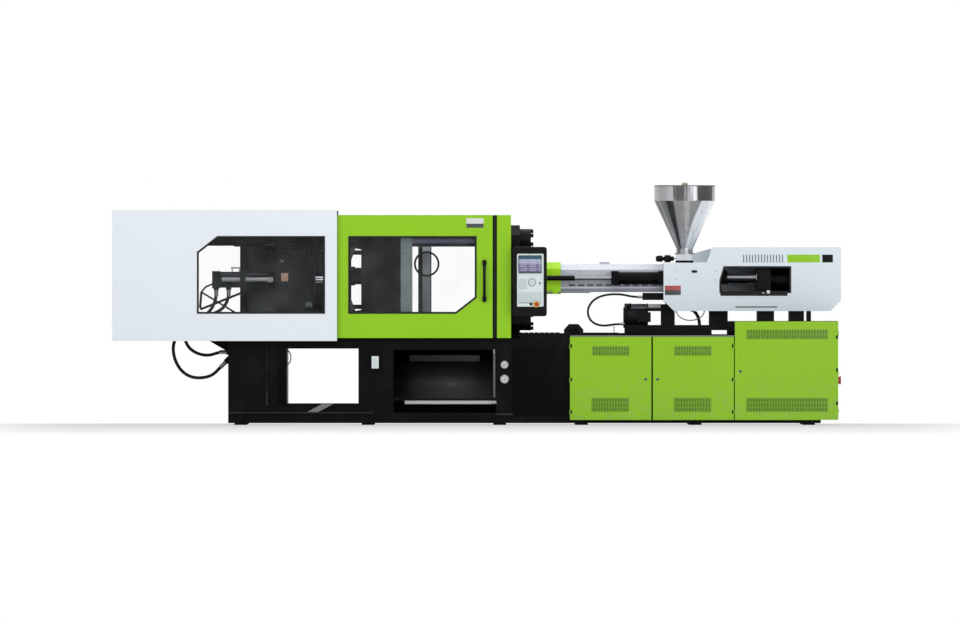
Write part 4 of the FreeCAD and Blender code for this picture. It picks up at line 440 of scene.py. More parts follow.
# rows of each plane: across, up and outwards
PLANES = {
    "front": np.array([X, Z, -Y]), "back": np.array([-X, Z, Y]), "top": np.array([X, Y, Z]),
    "right": np.array([Y, Z, X]), "left": np.array([-Y, Z, -X]),
}


def outward(points, faces):
    """Turns the faces round if the closed form's signed volume, the sum of each corner fan's
    triple products, is below nought."""
    centred = points - points.mean(0)
    volume = 0.0
    for f in faces:
        a, b, c = centred[f[:, :1]], centred[f[:, 1:-1]], centred[f[:, 2:]]
        volume += (a * np.cross(b, c)).sum()
    return points, faces if volume > 0 else [f[:, ::-1] for f in faces]


def skinned(grid, closed=False):
    """Form over rows of points, each row a loop: quads between neighbours, and either the
    last row joined to the first or both end rows closed by one face."""
    rows, sides = grid.shape[:2]
    index = np.arange(rows * sides).reshape(rows, sides)
    below, above = (index, np.roll(index, -1, 0)) if closed else (index[:-1], index[1:])
    quads = np.stack([below, np.roll(below, -1, 1), np.roll(above, -1, 1), above], -1)
    faces = [quads.reshape(-1, 4)]
    if not closed:
        faces += [index[:1, ::-1], index[-1:]]
    return outward(grid.reshape(-1, 3), faces)


def gathered(*forms):
    """Several forms as one: points one after the other, faces counted on."""
    starts = np.cumsum([0] + [len(points) for points, faces in forms])
    return (
        np.concatenate([points for points, faces in forms]),
        [f + start for (points, faces), start in zip(forms, starts) for f in faces],
    )


def repeated(form, offsets):
    """The form at each offset: its points shifted by all the offsets at once."""
    points, faces = form
    offsets = np.asarray(offsets, float).reshape(-1, 3)
    shifts = np.arange(len(offsets))[:, None, None] * len(points)
    return (
        (points[None] + offsets[:, None]).reshape(-1, 3),
        [(f[None] + shifts).reshape(-1, f.shape[1]) for f in faces],
    )


def placed(at, flat, depth=0.0, plane="front"):
    """Flat points put into a plane through `at`, then pushed outwards by the depth."""
    flat = np.asarray(flat, float)
    return np.column_stack([flat, np.full(len(flat), depth)]) @ PLANES[plane] + at


def lattice(columns, rows=(0,), plane="front"):
    """Offsets of a plane's grid: every column distance with every row distance."""
    across, up = np.meshgrid(columns, rows)
    return placed((0, 0, 0), np.array([across.ravel(), up.ravel()]).T, 0.0, plane)


def ellipse(wide, high, start=0.0, stop=2 * np.pi, count=40):
    """Points along an ellipse: its half widths times the cosine and the sine of the angle. A
    whole turn leaves out its last point, which is its first."""
    angle = np.linspace(start, stop, count, endpoint=abs(stop - start) < 6)
    return np.column_stack([wide * np.cos(angle), high * np.sin(angle)])


def circle(radius, sides=12, squash=1.0):
    return ellipse(radius, radius * squash, count=sides)


def round_rectangle(width, height, corner, steps=4):
    """Loop of a rectangle whose corners are quarter circles, anticlockwise."""
    turn = np.linspace(0, np.pi / 2, steps)
    angle = (turn[None] + np.arange(4)[:, None] * np.pi / 2).ravel()
    signs = np.array([[1, 1], [-1, 1], [-1, -1], [1, -1]]).repeat(steps, 0)
    reach = np.array([width / 2, height / 2]) - corner
    return signs * reach + corner * np.stack([np.cos(angle), np.sin(angle)], -1)


def plaque(at, size, depth, corner, edge, plane="front"):
    """Flat piece with rounded corners and a rolled front edge: rectangle loops stacked
    outwards, the last ones drawn in along a quarter circle. `at` is the back's middle."""
    roll = np.linspace(0, np.pi / 2, 4)
    inset = np.concatenate([[0], edge * (1 - np.cos(roll))])
    rise = np.concatenate([[0], depth - edge + edge * np.sin(roll)])
    return skinned(np.array([
        placed(at, round_rectangle(size[0] - 2 * i, size[1] - 2 * i, max(corner - i, edge / 8)), r, plane)
        for i, r in zip(inset, rise)
    ]))


def sheet_cut(at, outline, depth, plane="front"):
    """Plate cut to an outline and pushed outwards by its depth from the plane through `at`."""
    return skinned(np.array([placed(at, outline, d, plane) for d in (0.0, depth)]))


def turned(at, axis, profile, sides=32):
    """Solid of revolution: each (distance along the axis, radius) of the profile goes round
    in a circle, and the first and last circles are closed."""
    axis = np.array(axis) / np.linalg.norm(axis)
    across = np.cross(axis, Z if abs(axis[2]) < 0.9 else X)
    across /= np.linalg.norm(across)
    up = np.cross(axis, across)
    ring = circle(1.0, sides) @ np.array([across, up])
    along, radius = np.asarray(profile, float).T
    return skinned(at + along[:, None, None] * axis + radius[:, None, None] * ring)


def swept(path, section, up=-Y, closed=False, scale=1.0):
    """A section carried along a path: at each point its first coordinate lies across the
    path, widened in corners by the mitre 1 / cos(half the turn), the second along `up`."""
    path = np.asarray(path, float)
    step = np.roll(path, -1, 0) - path
    step /= np.maximum(np.linalg.norm(step, axis=1, keepdims=True), 1e-12)
    before = np.roll(step, 1, 0)
    if not closed:
        step[-1], before[0] = before[-1], step[0]
    tangent = step + before
    tangent /= np.linalg.norm(tangent, axis=1, keepdims=True)
    side = np.cross(tangent, up)
    side /= np.linalg.norm(side, axis=1, keepdims=True)
    lift = np.cross(side, tangent)
    mitre = 1 / np.sqrt(np.clip((1 + (step * before).sum(1)) / 2, 0.2, 1))
    section = np.asarray(section, float)
    scale = np.broadcast_to(scale, len(path))
    grid = path[:, None] + scale[:, None, None] * (
        section[None, :, :1] * (side * mitre[:, None])[:, None] + section[None, :, 1:] * lift[:, None]
    )
    return skinned(grid, closed)


def added(name, data):
    """A new object of the scene, made from its data."""
    made = bpy.data.objects.new(name, data)
    scene.collection.objects.link(made)
    return made


def piece(name, body, material, *forms, slot=None):
    """One mesh object from forms, smooth but for edges above 35 degrees, riding on a body."""
    points, faces = gathered(*forms)
    mesh = bpy.data.meshes.new(name)
    mesh.from_pydata(points.tolist(), [], [row for f in faces for row in f.tolist()])
    mesh.polygons.foreach_set("use_smooth", np.ones(len(mesh.polygons), bool))
    mesh.set_sharp_from_angle(angle=np.radians(35))
    mesh.materials.append(material)
    made = added(name, mesh)
    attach(made, body)


# ---- camera, light and floor

scene.view_settings.view_transform = "Standard"

LENS, SENSOR, VIEW_WIDTH = 700.0, 36.0, 10.56
camera_data = bpy.data.cameras.new("camera")
camera_data.lens, camera_data.sensor_width = LENS, SENSOR
camera_data.clip_end = 1200
camera = added("camera", camera_data)
camera.location = (0.033, -0.9 - VIEW_WIDTH * LENS / SENSOR, 1.243)
camera.rotation_euler = (np.pi / 2, 0, 0)
scene.camera = camera


def softbox(name, at, aim, size, power):
    """Rectangular area lamp at a point, turned to face its aim."""
    lamp = bpy.data.lights.new(name, "AREA")
    lamp.shape, lamp.size, lamp.size_y, lamp.energy = "RECTANGLE", size[0], size[1], power
    made = added(name, lamp)
    made.location = at
    direction = Vector(aim) - Vector(at)
    made.rotation_euler = direction.to_track_quat("-Z", "Y").to_euler()


softbox("key_light", (-4.5, -9.0, 7.5), (0, 0, 1.2), (7, 5), 410)
softbox("fill_light", (6.5, -8.5, 3.5), (0.5, 0, 1.2), (6, 5), 220)
softbox("top_light", (0, 0.5, 7.5), (0, 0, 1), (9, 4), 190)
softbox("rear_light", (1.0, 9.0, 5.5), (0, 0, 1.2), (8, 4), 220)

world = bpy.data.worlds.new("studio")
world.use_nodes = True
scene.world = world
sky = Nodes(world.node_tree)
# what the camera sees is white, and what lights the machine is dimmer
shown, lit = [sky.node("Background", {}, {"Color": (1, 1, 1, 1), "Strength": power}) for power in (1.0, 0.34)]
blend = sky.node("MixShader", {}, {0: sky.looked_at(), 1: lit, 2: shown})
sky.feed(sky.tree.nodes["World Output"].inputs["Surface"], blend)


def studio_floor():
    """Pale floor: a white matt sheet that shows the machine's shadow near it. For the camera it
    looks a little grey near the machine, a painted shadow that stretches far out in front, and
    turns into plain white with growing distance from it."""
    f = Finish("floor_sheet", {"Roughness": 0.5, "Specular IOR Level": 0.3})
    x, y, z = f.xyz()
    f.set({"Base Color": f.mix(f.noise(0.8, 2), (247, 247, 247), (252, 252, 252))})
    beyond = (abs(x) - 4.0).either(0.0)
    aside = (0.12 * (-0.8 - y)).either(abs(y) * (y > 0) - 0.8).either(0.0)
    far = ((beyond * beyond + aside * aside) ** 0.5).rise(0.1, 2.2)
    # painted shadow: an even grey near the machine, reaching far out in front of it, that fades to white
    white = f.node("Emission", {}, {"Color": f.mix(far, (214, 216, 214), (1, 1, 1, 1))})
    share = f.looked_at() * (0.78 + 0.22 * far)
    mixed = f.node("MixShader", {}, {0: share, 1: Value(f, f.shader.outputs[0]), 2: white})
    f.feed(f.tree.nodes["Material Output"].inputs["Surface"], mixed)
    reach = 60.0
    mesh = bpy.data.meshes.new("floor")
    corners = [(-reach, -reach, 0), (reach, -reach, 0), (reach, reach, 0), (-reach, reach, 0)]
    mesh.from_pydata(corners, [], [(0, 1, 2, 3)])
    mesh.materials.append(f.material)
    added("floor", mesh)


studio_floor()


# ---- hoses

LONG_ROUTE = [
    (-2.774, -0.250, 0.690), (-2.841, -0.250, 0.623), (-2.904, -0.249, 0.558),
    (-2.981, -0.247, 0.523), (-3.105, -0.243, 0.513), (-3.200, -0.238, 0.545),
    (-3.274, -0.231, 0.607), (-3.324, -0.222, 0.691), (-3.353, -0.210, 0.790),
    (-3.352, -0.194, 0.890), (-3.313, -0.174, 0.985), (-3.235, -0.150, 1.065),
    (-3.110, -0.112, 1.140), (-3.035, -0.084, 1.188), (-2.958, -0.052, 1.242),
    (-2.910, -0.020, 1.318), (-2.881, 0.0, 1.402), (-2.881, 0.0, 1.490),
]
SHORT_ROUTE = [
    (-2.769, 0.120, 0.800), (-2.850, 0.120, 0.800), (-2.944, 0.120, 0.766),
    (-3.030, 0.119, 0.766), (-3.125, 0.116, 0.799), (-3.194, 0.111, 0.858),
    (-3.230, 0.104, 0.939), (-3.230, 0.094, 1.025), (-3.194, 0.083, 1.104),
    (-3.109, 0.071, 1.165), (-3.023, 0.058, 1.205), (-2.915, 0.040, 1.224),
    (-2.833, 0.022, 1.262), (-2.774, 0.008, 1.327), (-2.744, 0.0, 1.410),
    (-2.744, 0.0, 1.490),
]
LOOP_ROUTE = [
    (1.826, -0.190, 1.408), (1.730, -0.190, 1.408), (1.600, -0.200, 1.438),
    (1.470, -0.210, 1.440), (1.350, -0.216, 1.415), (1.268, -0.218, 1.360),
    (1.222, -0.216, 1.280), (1.226, -0.208, 1.198), (1.268, -0.194, 1.132),
    (1.346, -0.172, 1.095), (1.435, -0.145, 1.092), (1.530, -0.125, 1.110),
    (1.628, -0.125, 1.110),
]


def hose(node, body, route, diameter):
    """Round hose on a smooth spline that its route's points guide."""
    curve = bpy.data.curves.new(node + "_line", "CURVE")
    curve.dimensions, curve.bevel_depth = "3D", diameter / 2
    curve.bevel_resolution, curve.resolution_u, curve.use_fill_caps = 5, 8, True
    spline = curve.splines.new("NURBS")
    spline.points.add(len(route) - 1)
    spline.points.foreach_set("co", np.column_stack([route, np.ones(len(route))]).ravel())
    spline.order_u, spline.use_endpoint_u = 3, True
    curve.materials.append(RUBBER)
    made = added(node + "_line", curve)
    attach(made, body)
    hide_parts(node)


CLAMP_HOSE, LOOP_HOSE = 0.036, 0.024
hose("clamp_hose_long", "base", LONG_ROUTE, CLAMP_HOSE)
hose("clamp_hose_short", "base", SHORT_ROUTE, CLAMP_HOSE)
hose("injection_hose", "carriage", LOOP_ROUTE, LOOP_HOSE)


def crimp(at, axis, diameter):
    """Pressed sleeve and collar at a hose's end: a stepped, grooved profile with its lengths
    for a radius of 18 mm and its radii as shares of the hose's."""
    r = diameter / 2
    steps = [
        (0.0, 1.35), (0.022, 1.35), (0.024, 1.12), (0.030, 1.12), (0.032, 1.28), (0.042, 1.28),
        (0.044, 1.20), (0.048, 1.20), (0.050, 1.28), (0.060, 1.28), (0.062, 1.20), (0.066, 1.20),
        (0.068, 1.28), (0.078, 1.24), (0.080, 1.06),
    ]
    return turned(at, axis, [(a * r / 0.018, b * r) for a, b in steps], 20)


piece("hose_crimps", "base", ZINC,
      crimp(LONG_ROUTE[0], (-1, 0, -1), CLAMP_HOSE), crimp(LONG_ROUTE[-1], -Z, CLAMP_HOSE),
      crimp(SHORT_ROUTE[0], -X, CLAMP_HOSE), crimp(SHORT_ROUTE[-1], -Z, CLAMP_HOSE))
piece("loop_crimps", "carriage", ZINC,
      crimp(LOOP_ROUTE[0], -X, LOOP_HOSE), crimp(LOOP_ROUTE[-1], -X, LOOP_HOSE))


# ---- windows

# lower and upper edges of the guards' and the gates' windows
LOW, HIGH = 1.234, 2.068
BEAD = circle(0.011, 10, 0.7)


def gasket(name, body, outline, y, up=-Y):
    """Rubber bead round a window: an oval section carried round the opening's outline."""
    bead = swept(placed((0, y, 0), outline), BEAD, up, closed=True)
    piece(name, body, GASKET, bead, slot="black_plastic")


def framed(left, right):
    return [(left, LOW), (right, LOW), (right, HIGH), (left, HIGH)]


gasket("clamp_window_gasket", "base",
       [(-3.070, LOW), (-1.682, LOW), (-1.682, HIGH), (-2.853, HIGH), (-3.070, 1.898)], -0.930)
gasket("gate_window_gasket", "front_gate",
       [(-1.406, LOW), (-0.231, LOW), (-0.014, 1.404), (-0.014, HIGH), (-1.406, HIGH)], -0.880)
gasket("rear_window_gasket", "base", framed(-3.650, -2.618), 0.9215, Y)
gasket("rear_gate_gasket_left", "rear_gate", framed(-1.406, -0.642), 0.880, Y)
gasket("rear_gate_gasket_right", "rear_gate", framed(-0.517, -0.014), 0.880, Y)


# ---- control panel

# faces of the panel, of the overlay sheet on it and of the raised key fields
FACE_Y, OVERLAY_Y, FIELD_Y = -0.982, -0.9835, -0.987
STOP_X, STOP_Z, STOP_BOSS = 0.655, 1.328, 0.034
boss_start = np.arcsin((STOP_Z - 1.301) / STOP_BOSS)
boss_edge = ellipse(STOP_BOSS, STOP_BOSS, np.pi + boss_start, -boss_start, 24) + [STOP_X, STOP_Z]
overlay = round_rectangle(0.294, 0.583, 0.012) + [0.587, 1.5925]
piece("panel_overlay", "control_panel", PALE_PLASTIC,
      sheet_cut((0, FACE_Y, 0), np.concatenate([overlay[:12], boss_edge, overlay[12:]]), 0.0015))
piece("panel_screen_frame", "control_panel", BLACK_PLASTIC,
      plaque((0.583, OVERLAY_Y, 1.7665), (0.256, 0.199), 0.003, 0.008, 0.0015))
piece("panel_screen", "control_panel", screen_picture("screen_page"),
      plaque((0.583, FACE_Y - 0.0045, 1.7665), (0.242, 0.185), 0.0008, 0.003, 0.0004))
piece("panel_key_fields", "control_panel", KEY_FIELD,
      plaque((0.582, FACE_Y - 0.001, 1.402), (0.252, 0.114), 0.004, 0.008, 0.0012),
      plaque((0.503, FACE_Y - 0.001, 1.550), (0.082, 0.108), 0.004, 0.008, 0.0012))
keys = plaque((0.583, FIELD_Y, 1.402), (0.0235, 0.022), 0.0012, 0.004, 0.0006)
soft_keys = plaque((0.583, OVERLAY_Y, 1.6495), (0.022, 0.010), 0.0015, 0.003, 0.0006)
small_keys = plaque((0.503, FIELD_Y, 1.550), (0.019, 0.017), 0.0012, 0.004, 0.0006)
piece("panel_keys", "control_panel", KEY_PLASTIC,
      repeated(keys, lattice(np.linspace(-0.108, 0.108, 8), np.linspace(-0.044, 0.044, 4))),
      repeated(soft_keys, lattice(np.linspace(-0.105, 0.105, 7))),
      repeated(small_keys, lattice([-0.024, 0, 0.024], [-0.034, -0.011, 0.012, 0.035])))
for name, material, x, z, sides, profile in (
    ("panel_dial_ring", SHOWN_GREY, 0.605, 1.569, 40,
     [(0, 0.044), (0.004, 0.044), (0.006, 0.041), (0.006, 0.037), (0.002, 0.036)]),
    ("panel_dial", KEY_PLASTIC, 0.605, 1.568, 40,
     [(0, 0.0365), (0.011, 0.0365), (0.0125, 0.034), (0.0125, 0.010), (0.0115, 0.004)]),
    ("panel_small_knob", BLACK_PLASTIC, 0.594, 1.330, 24,
     [(0, 0.015), (0.004, 0.015), (0.005, 0.010), (0.016, 0.0095), (0.018, 0.007)]),
    ("panel_socket", SHOWN_GREY, 0.690, 1.560, 24,
     [(0, 0.013), (0.004, 0.013), (0.006, 0.009), (0.010, 0.008), (0.011, 0.005)]),
):
    piece(name, "control_panel", material, turned((x, OVERLAY_Y, z), -Y, profile, sides))
piece("estop_collar", "control_panel", YELLOW_PLASTIC,
      swept(placed((STOP_X, -0.9903, STOP_Z), circle(0.0245, 40)),
            [(-0.009, -0.0003), (0.009, -0.0003), (0.009, 0.0003), (-0.009, 0.0003)], closed=True))
piece("panel_bumper", "control_panel", RUBBER,
      swept(placed((0.582, -0.947, 1.5775), round_rectangle(0.356, 0.747, 0.022, 6)),
            [(0.006, -0.02), (0.0085, -0.012), (0.0085, 0.012), (0.006, 0.02), (0.002, 0.02), (0.002, -0.02)],
            closed=True))


# ---- doors and their vents

SKIN_Y, VENT_PLATE = -0.830, 0.0012
LOUVRE_WIDTH, LOUVRE_HEIGHT, LOUVRE_LEAN, LOUVRE_PITCH, LOUVRE_RISE = 0.011, 0.042, 0.28, 0.0305, 0.050


def louvres(plane, at, columns, rows, lean):
    """Pressed louvres in a grid: each a dark slanted slot with a raised lip beside it, the
    lip's section a low wedge that fades out at both ends as the root of a sine."""
    half = LOUVRE_WIDTH / 2
    steps = np.linspace(0, 1, 7)
    line = np.outer(steps - 0.5, [lean * LOUVRE_HEIGHT, LOUVRE_HEIGHT])
    fade = np.sqrt(np.sin(np.pi * np.clip(steps, 0.03, 0.97)))
    wedge = [(-half, 0.0002), (half, 0.0002), (half, 0.0035), (half / 5, 0.0030)]
    lip = swept(placed((1.7 * half, 0, 0), line, plane="top"), wedge, Z, scale=fade)
    outline = round_rectangle(LOUVRE_WIDTH, LOUVRE_HEIGHT, 0.9 * half, 3)
    slot = sheet_cut((0, 0, -0.0002), outline, 0.0008, "top")
    slot[0][:, 0] += lean * slot[0][:, 1]
    across = (np.arange(columns) - (columns - 1) / 2) * LOUVRE_PITCH
    up = (np.arange(rows) - (rows - 1) / 2) * LOUVRE_RISE
    return [
        repeated(outward(points @ PLANES[plane] + at, faces), lattice(across, up, plane))
        for points, faces in (slot, lip)
    ]


def vents(name, body, fields, turn=1):
    """Thin plates, and on them the slots and lips of louvres. With a turn of -1 each field
    leans against the one before."""
    plates, grids = [], []
    for k, (plane, at, columns, rows) in enumerate(fields):
        lean = turn**k * LOUVRE_LEAN
        size = (columns * LOUVRE_PITCH + 0.02, rows * LOUVRE_RISE + 0.006)
        plates.append(plaque(at, size, VENT_PLATE, 0.006, 0.0005, plane))
        grids.append(louvres(plane, at + VENT_PLATE * PLANES[plane][2], columns, rows, lean))
    slots, lips = zip(*grids)
    piece(name + "_vent_plates", body, VENT_GREEN, *plates)
    piece(name + "_slots", body, GREEN_SLOT, *slots)
    piece(name + "_lips", body, VENT_GREEN, *lips)


# vents as X, Z, columns and rows; the lock's X and Z; the hinges' X and their heights
DOORS = {
    "cabinet_door_left": (
        [(1.4715, 0.8155, 13, 2), (1.466, 0.2215, 13, 3)], (1.856, 0.502), (1.034, [0.869, 0.500, 0.143])),
    "cabinet_door_middle": (
        [(2.375, 0.8155, 13, 2), (2.372, 0.2215, 13, 3)], (1.987, 0.502), (2.817, [0.869, 0.500, 0.143])),
    "cabinet_door_right": (
        [(3.413, 0.997, 29, 2), (3.4105, 0.2215, 29, 3)], (2.897, 0.590), (3.962, [0.968, 0.605, 0.237])),
}
for door, (fields, lock, hinge) in DOORS.items():
    vents(door, door, [("front", (x, SKIN_Y, z), columns, rows) for x, z, columns, rows in fields], -1)
for door, (fields, (x, z), hinge) in DOORS.items():
    barrel = [(0, 0.016), (0.002, 0.016), (0.0045, 0.014), (0.005, 0.010), (0.0035, 0.007)]
    piece(door + "_lock", door, LINK_STEEL, turned((x, SKIN_Y, z), -Y, barrel, 24))
    piece(door + "_lock_key", door, SLOT_DARK,
          plaque((x, SKIN_Y - 0.0035, z), (0.0035, 0.010), 0.001, 0.0016, 0.0004))
for door, (fields, lock, (x, heights)) in DOORS.items():
    leaf = plaque((x, SKIN_Y, 0), (0.022, 0.034), 0.004, 0.003, 0.001)
    knuckle = turned((x, SKIN_Y - 0.006, -0.019), Z,
                     [(0, 0.0055), (0.002, 0.0065), (0.036, 0.0065), (0.038, 0.0055)], 12)
    piece(door + "_hinge_leaves", door, BLACK_PLASTIC,
          repeated(gathered(leaf, knuckle), lattice([0], heights)))


# ---- base details

GAUGE_X, GAUGE_Y = 0.303, -0.8325
for k, (z, r) in enumerate([(0.663, 0.0425), (0.505, 0.0475)]):
    rim = [(0, r + 0.001), (0.006, r + 0.001), (0.009, r - 0.002), (0.009, r - 0.005), (0.003, r - 0.006)]
    piece(f"gauge_rim_{k}", "base", ZINC, turned((GAUGE_X, GAUGE_Y + 0.002, z), -Y, rim, 40))
    piece(f"gauge_face_{k}", "base", dial_face(f"gauge_print_{k}", GAUGE_X, z, r - 0.006),
          turned((GAUGE_X, GAUGE_Y, z), -Y, [(0, r - 0.006), (0.0012, r - 0.006)], 40))
    tilt = np.radians(128 + 40 * k)
    spin = np.array([[np.cos(tilt), np.sin(tilt)], [-np.sin(tilt), np.cos(tilt)]])
    arrow = [[-0.002, -0.010], [0.002, -0.010], [0.0008, r * 0.74], [-0.0008, r * 0.74]]
    piece(f"gauge_needle_{k}", "base", BLACK_PLASTIC,
          sheet_cut((GAUGE_X, GAUGE_Y - 0.002, z), arrow @ spin, 0.0012),
          turned((GAUGE_X, GAUGE_Y - 0.001, z), -Y, [(0, 0.004), (0.003, 0.0035)], 16))

SOCKET_X, SOCKET_HEIGHTS = -1.1205, (0.722, 0.657)
ring = [(0, 0.027), (0.004, 0.027), (0.0055, 0.025), (0.0055, 0.020), (0.001, 0.019)]
piece("socket_faces", "base", PALE_PLASTIC,
      plaque((SOCKET_X, -0.845, 0.6895), (0.078, 0.136), 0.002, 0.006, 0.001),
      repeated(turned((SOCKET_X, -0.847, 0), -Y, ring, 28), lattice([0], SOCKET_HEIGHTS)))
piece("drain_pipe_sleeve", "base", moulded_plastic("pipe_sleeve_white", (250, 250, 248), 0.4),
      turned((-0.795, -0.720, 0.258), X,
             [(0, 0.0275), (0.003, 0.0295), (0.952, 0.0295), (0.955, 0.0275)]))
piece("chute_back_panel", "base", black_enamel("chute_grey_enamel", 100, 0.45),
      plaque((-0.360, 0.409, 0.703), (0.780, 0.120), 0.006, 0.006, 0.002),
      repeated(plaque((-0.360, 0.403, 0.703), (0.012, 0.110), 0.003, 0.003, 0.001),
               lattice(np.linspace(-0.36, 0.36, 13))))
pin = turned((SOCKET_X, -0.848, 0), -Y, [(0, 0.0028), (0.0008, 0.0026)], 10)
pins = repeated(pin, [(-0.009, 0, -0.005), (0.009, 0, -0.005), (0, 0, 0.010)])
piece("socket_holes", "base", SLOT_DARK, repeated(pins, lattice([0], SOCKET_HEIGHTS)))

CONDUIT, RIBS = (0.193, -0.742, 0.0), 34
ribs = np.column_stack([
    np.repeat(np.linspace(0.300, 0.790, RIBS), 4) + np.tile([-0.006, -0.004, 0.001, 0.003], RIBS),
    np.tile([0.0125, 0.0155, 0.0155, 0.0125], RIBS),
])
piece("ribbed_conduit", "base", LINE_GREY,
      turned(CONDUIT, Z, [(0.275, 0.013), (0.295, 0.013), *ribs, (0.795, 0.013), (0.814, 0.013)], 16))
piece("conduit_ends", "base", ZINC,
      turned(CONDUIT, Z, [(0.790, 0.019), (0.820, 0.019), (0.821, 0.024), (0.838, 0.024)], 18),
      turned(CONDUIT, Z, [(0.262, 0.022), (0.282, 0.022), (0.283, 0.018), (0.296, 0.018)], 18))
piece("base_lever", "base", GREYISH_BLACK,
      swept([(-2.315, -0.812, 0.930), (-2.315, -0.812, 0.400)], circle(0.005, 10)),
      turned((-2.313, -0.812, 0.205), Z,
             [(0, 0.010), (0.006, 0.015), (0.10, 0.0165), (0.150, 0.012), (0.205, 0.006)], 16))
piece("lever_clips", "base", ENAMEL,
      repeated(plaque((-2.315, -0.800, 0), (0.034, 0.022), 0.020, 0.004, 0.002), lattice([0], [0.86, 0.55])))
piece("base_ledge", "base", GREYISH_BLACK,
      plaque((-1.935, SKIN_Y, 0.1345), (1.59, 0.017), 0.006, 0.002, 0.0015),
      plaque((0.297, SKIN_Y, 0.118), (0.198, 0.026), 0.006, 0.002, 0.0015))
# painted shade: very dark plaques standing in for the shade of the set-back panels and of the side of an
# opening
piece("base_set_back_panels", "base", DEEP_BLACK,
      plaque((0.704, SKIN_Y, 0.483), (0.606, 0.728), 0.003, 0.006, 0.001),
      plaque((-2.134, SKIN_Y, 0.533), (0.086, 0.606), 0.002, 0.004, 0.001))
piece("base_brace", "base", GREY_ENAMEL,
      sheet_cut((0, SKIN_Y, 0), [(-1.870, 0.143), (-1.749, 0.143), (-1.580, 0.231), (-1.705, 0.231)], 0.002))


def bent(at, wide, high, start, stop, count, section):
    """A section swept along part of an ellipse that faces the operator."""
    return swept(placed(at, ellipse(wide, high, start, stop, count)), section)


piece("bay_bow_handle", "base", RUBBER,
      bent((-2.100, -0.800, 0.742), 0.052, 0.082, -np.pi / 2, np.pi / 2, 12, circle(0.006, 8)))


# ---- trays under the injection unit

piece("pipe_tray", "base", ENAMEL,
      plaque((2.105, -0.655, 1.010), (0.960, 0.056), 0.020, 0.004, 0.002),
      plaque((2.792, -0.655, 1.062), (0.084, 0.164), 0.030, 0.006, 0.003),
      plaque((2.668, -0.655, 0.990), (0.170, 0.018), 0.020, 0.003, 0.002))
piece("carriage_skirt", "carriage", ENAMEL,
      plaque((2.105, -0.345, 1.030), (0.960, 0.030), 0.012, 0.003, 0.001))
piece("chain_guide_disc", "base", DEEP_BLACK,
      sheet_cut((1.064, -0.548, 0.984), ellipse(0.098, 0.098, 0, np.pi, 20), 0.012))
for k, (reach, rise, radius) in enumerate([(0.070, 0.072, 0.008), (0.044, 0.046, 0.006)]):
    piece(f"chain_inner_line_{k}", "base", GREYISH_BLACK,
          bent((1.064, -0.560, 0.984), reach, rise, 0, np.pi, 20, circle(radius, 10)))
piece("door_head_strip", "base", GREY_ENAMEL,
      plaque((1.929, -0.800, 0.9785), (1.806, 0.014), 0.030, 0.003, 0.001))
piece("hose_post", "base", ZINC,
      turned((1.5125, -0.125, 0.979), Z,
             [(0, 0.02), (0.006, 0.02), (0.008, 0.005), (0.094, 0.005), (0.096, 0.014), (0.102, 0.014)], 12))


# ---- far side and right end

FAR_Y, END_X = 0.830, 3.975
vents("cover", "base", [
    ("back", (1.480, FAR_Y, 0.8155), 13, 2), ("back", (1.480, FAR_Y, 0.2215), 13, 3),
    ("back", (2.380, FAR_Y, 0.8155), 13, 2), ("back", (2.380, FAR_Y, 0.2215), 13, 3),
    ("back", (3.410, FAR_Y, 0.960), 21, 2), ("back", (3.410, FAR_Y, 0.2215), 21, 3),
    ("right", (END_X, 0.300, 0.960), 13, 2), ("right", (END_X, 0.300, 0.2215), 13, 3),
])


def cover_edge(left, right, high, low=0.055):
    """Screw places round a cover's edge: along the bottom and the top at an even pitch."""
    pitch, inset = 0.42, 0.028
    across = np.linspace(left + inset, right - inset, int((right - left) / pitch) + 2)
    return [(a, z) for z in (low + inset, high - inset) for a in across]


dome = [(0, 0.009), (0.0015, 0.009), (0.004, 0.006), (0.005, 0.002)]
piece("cover_screws", "base", ZINC,
      *[turned((x, FAR_Y, z), Y, dome, 10)
        for x, z in cover_edge(1.023, 2.838, 0.970) + cover_edge(2.850, 3.975, 1.137)],
      *[turned((END_X, y, z), X, dome, 10) for y, z in cover_edge(-0.800, 0.800, 1.137)])
piece("cover_seam", "base", SLOT_DARK,
      plaque((1.930, FAR_Y, 0.5125), (0.008, 0.900), 0.0008, 0.002, 0.0004, "back"))
piece("switch_plate", "base", YELLOW_PLASTIC,
      plaque((END_X, -0.400, 0.490), (0.110, 0.120), 0.0016, 0.008, 0.0006, "right"))
piece("far_gate_pull", "rear_gate", BLACK_PLASTIC,
      plaque((0.081, 0.880, 1.585), (0.030, 0.300), 0.040, 0.012, 0.006, "back"),
      plaque((0.081, 0.880, 1.585), (0.050, 0.360), 0.006, 0.010, 0.002, "back"))


# ---- behind the windows

piece("far_top_rail", "base", ENAMEL,
      plaque((-2.365, 0.795, 2.0185), (1.410, 0.083), 0.050, 0.006, 0.003))
piece("seal_strip", "base", GASKET,
      plaque((0.197, -0.796, 1.6335), (0.075, 1.351), 0.014, 0.003, 0.001),
      plaque((0.197, -0.810, 1.6335), (0.036, 1.351), 0.040, 0.003, 0.001))
piece("tail_brass_block", "tail", BRASS,
      plaque((-2.118, -0.600, 1.6255), (0.078, 0.090), 0.014, 0.004, 0.002))
piece("tail_lubricator", "tail", DULL_STEEL,
      turned((-2.149, -0.600, 1.804), -Y,
             [(0, 0.016), (0.006, 0.016), (0.008, 0.012), (0.018, 0.011), (0.020, 0.008)], 20),
      plaque((-1.8525, -0.600, 1.323), (0.075, 0.060), 0.020, 0.005, 0.002))
piece("tail_feed_line", "tail", GREYISH_BLACK,
      swept([(-1.850, -0.606, 2.039), (-1.850, -0.606, 1.353)], circle(0.0045, 8)))
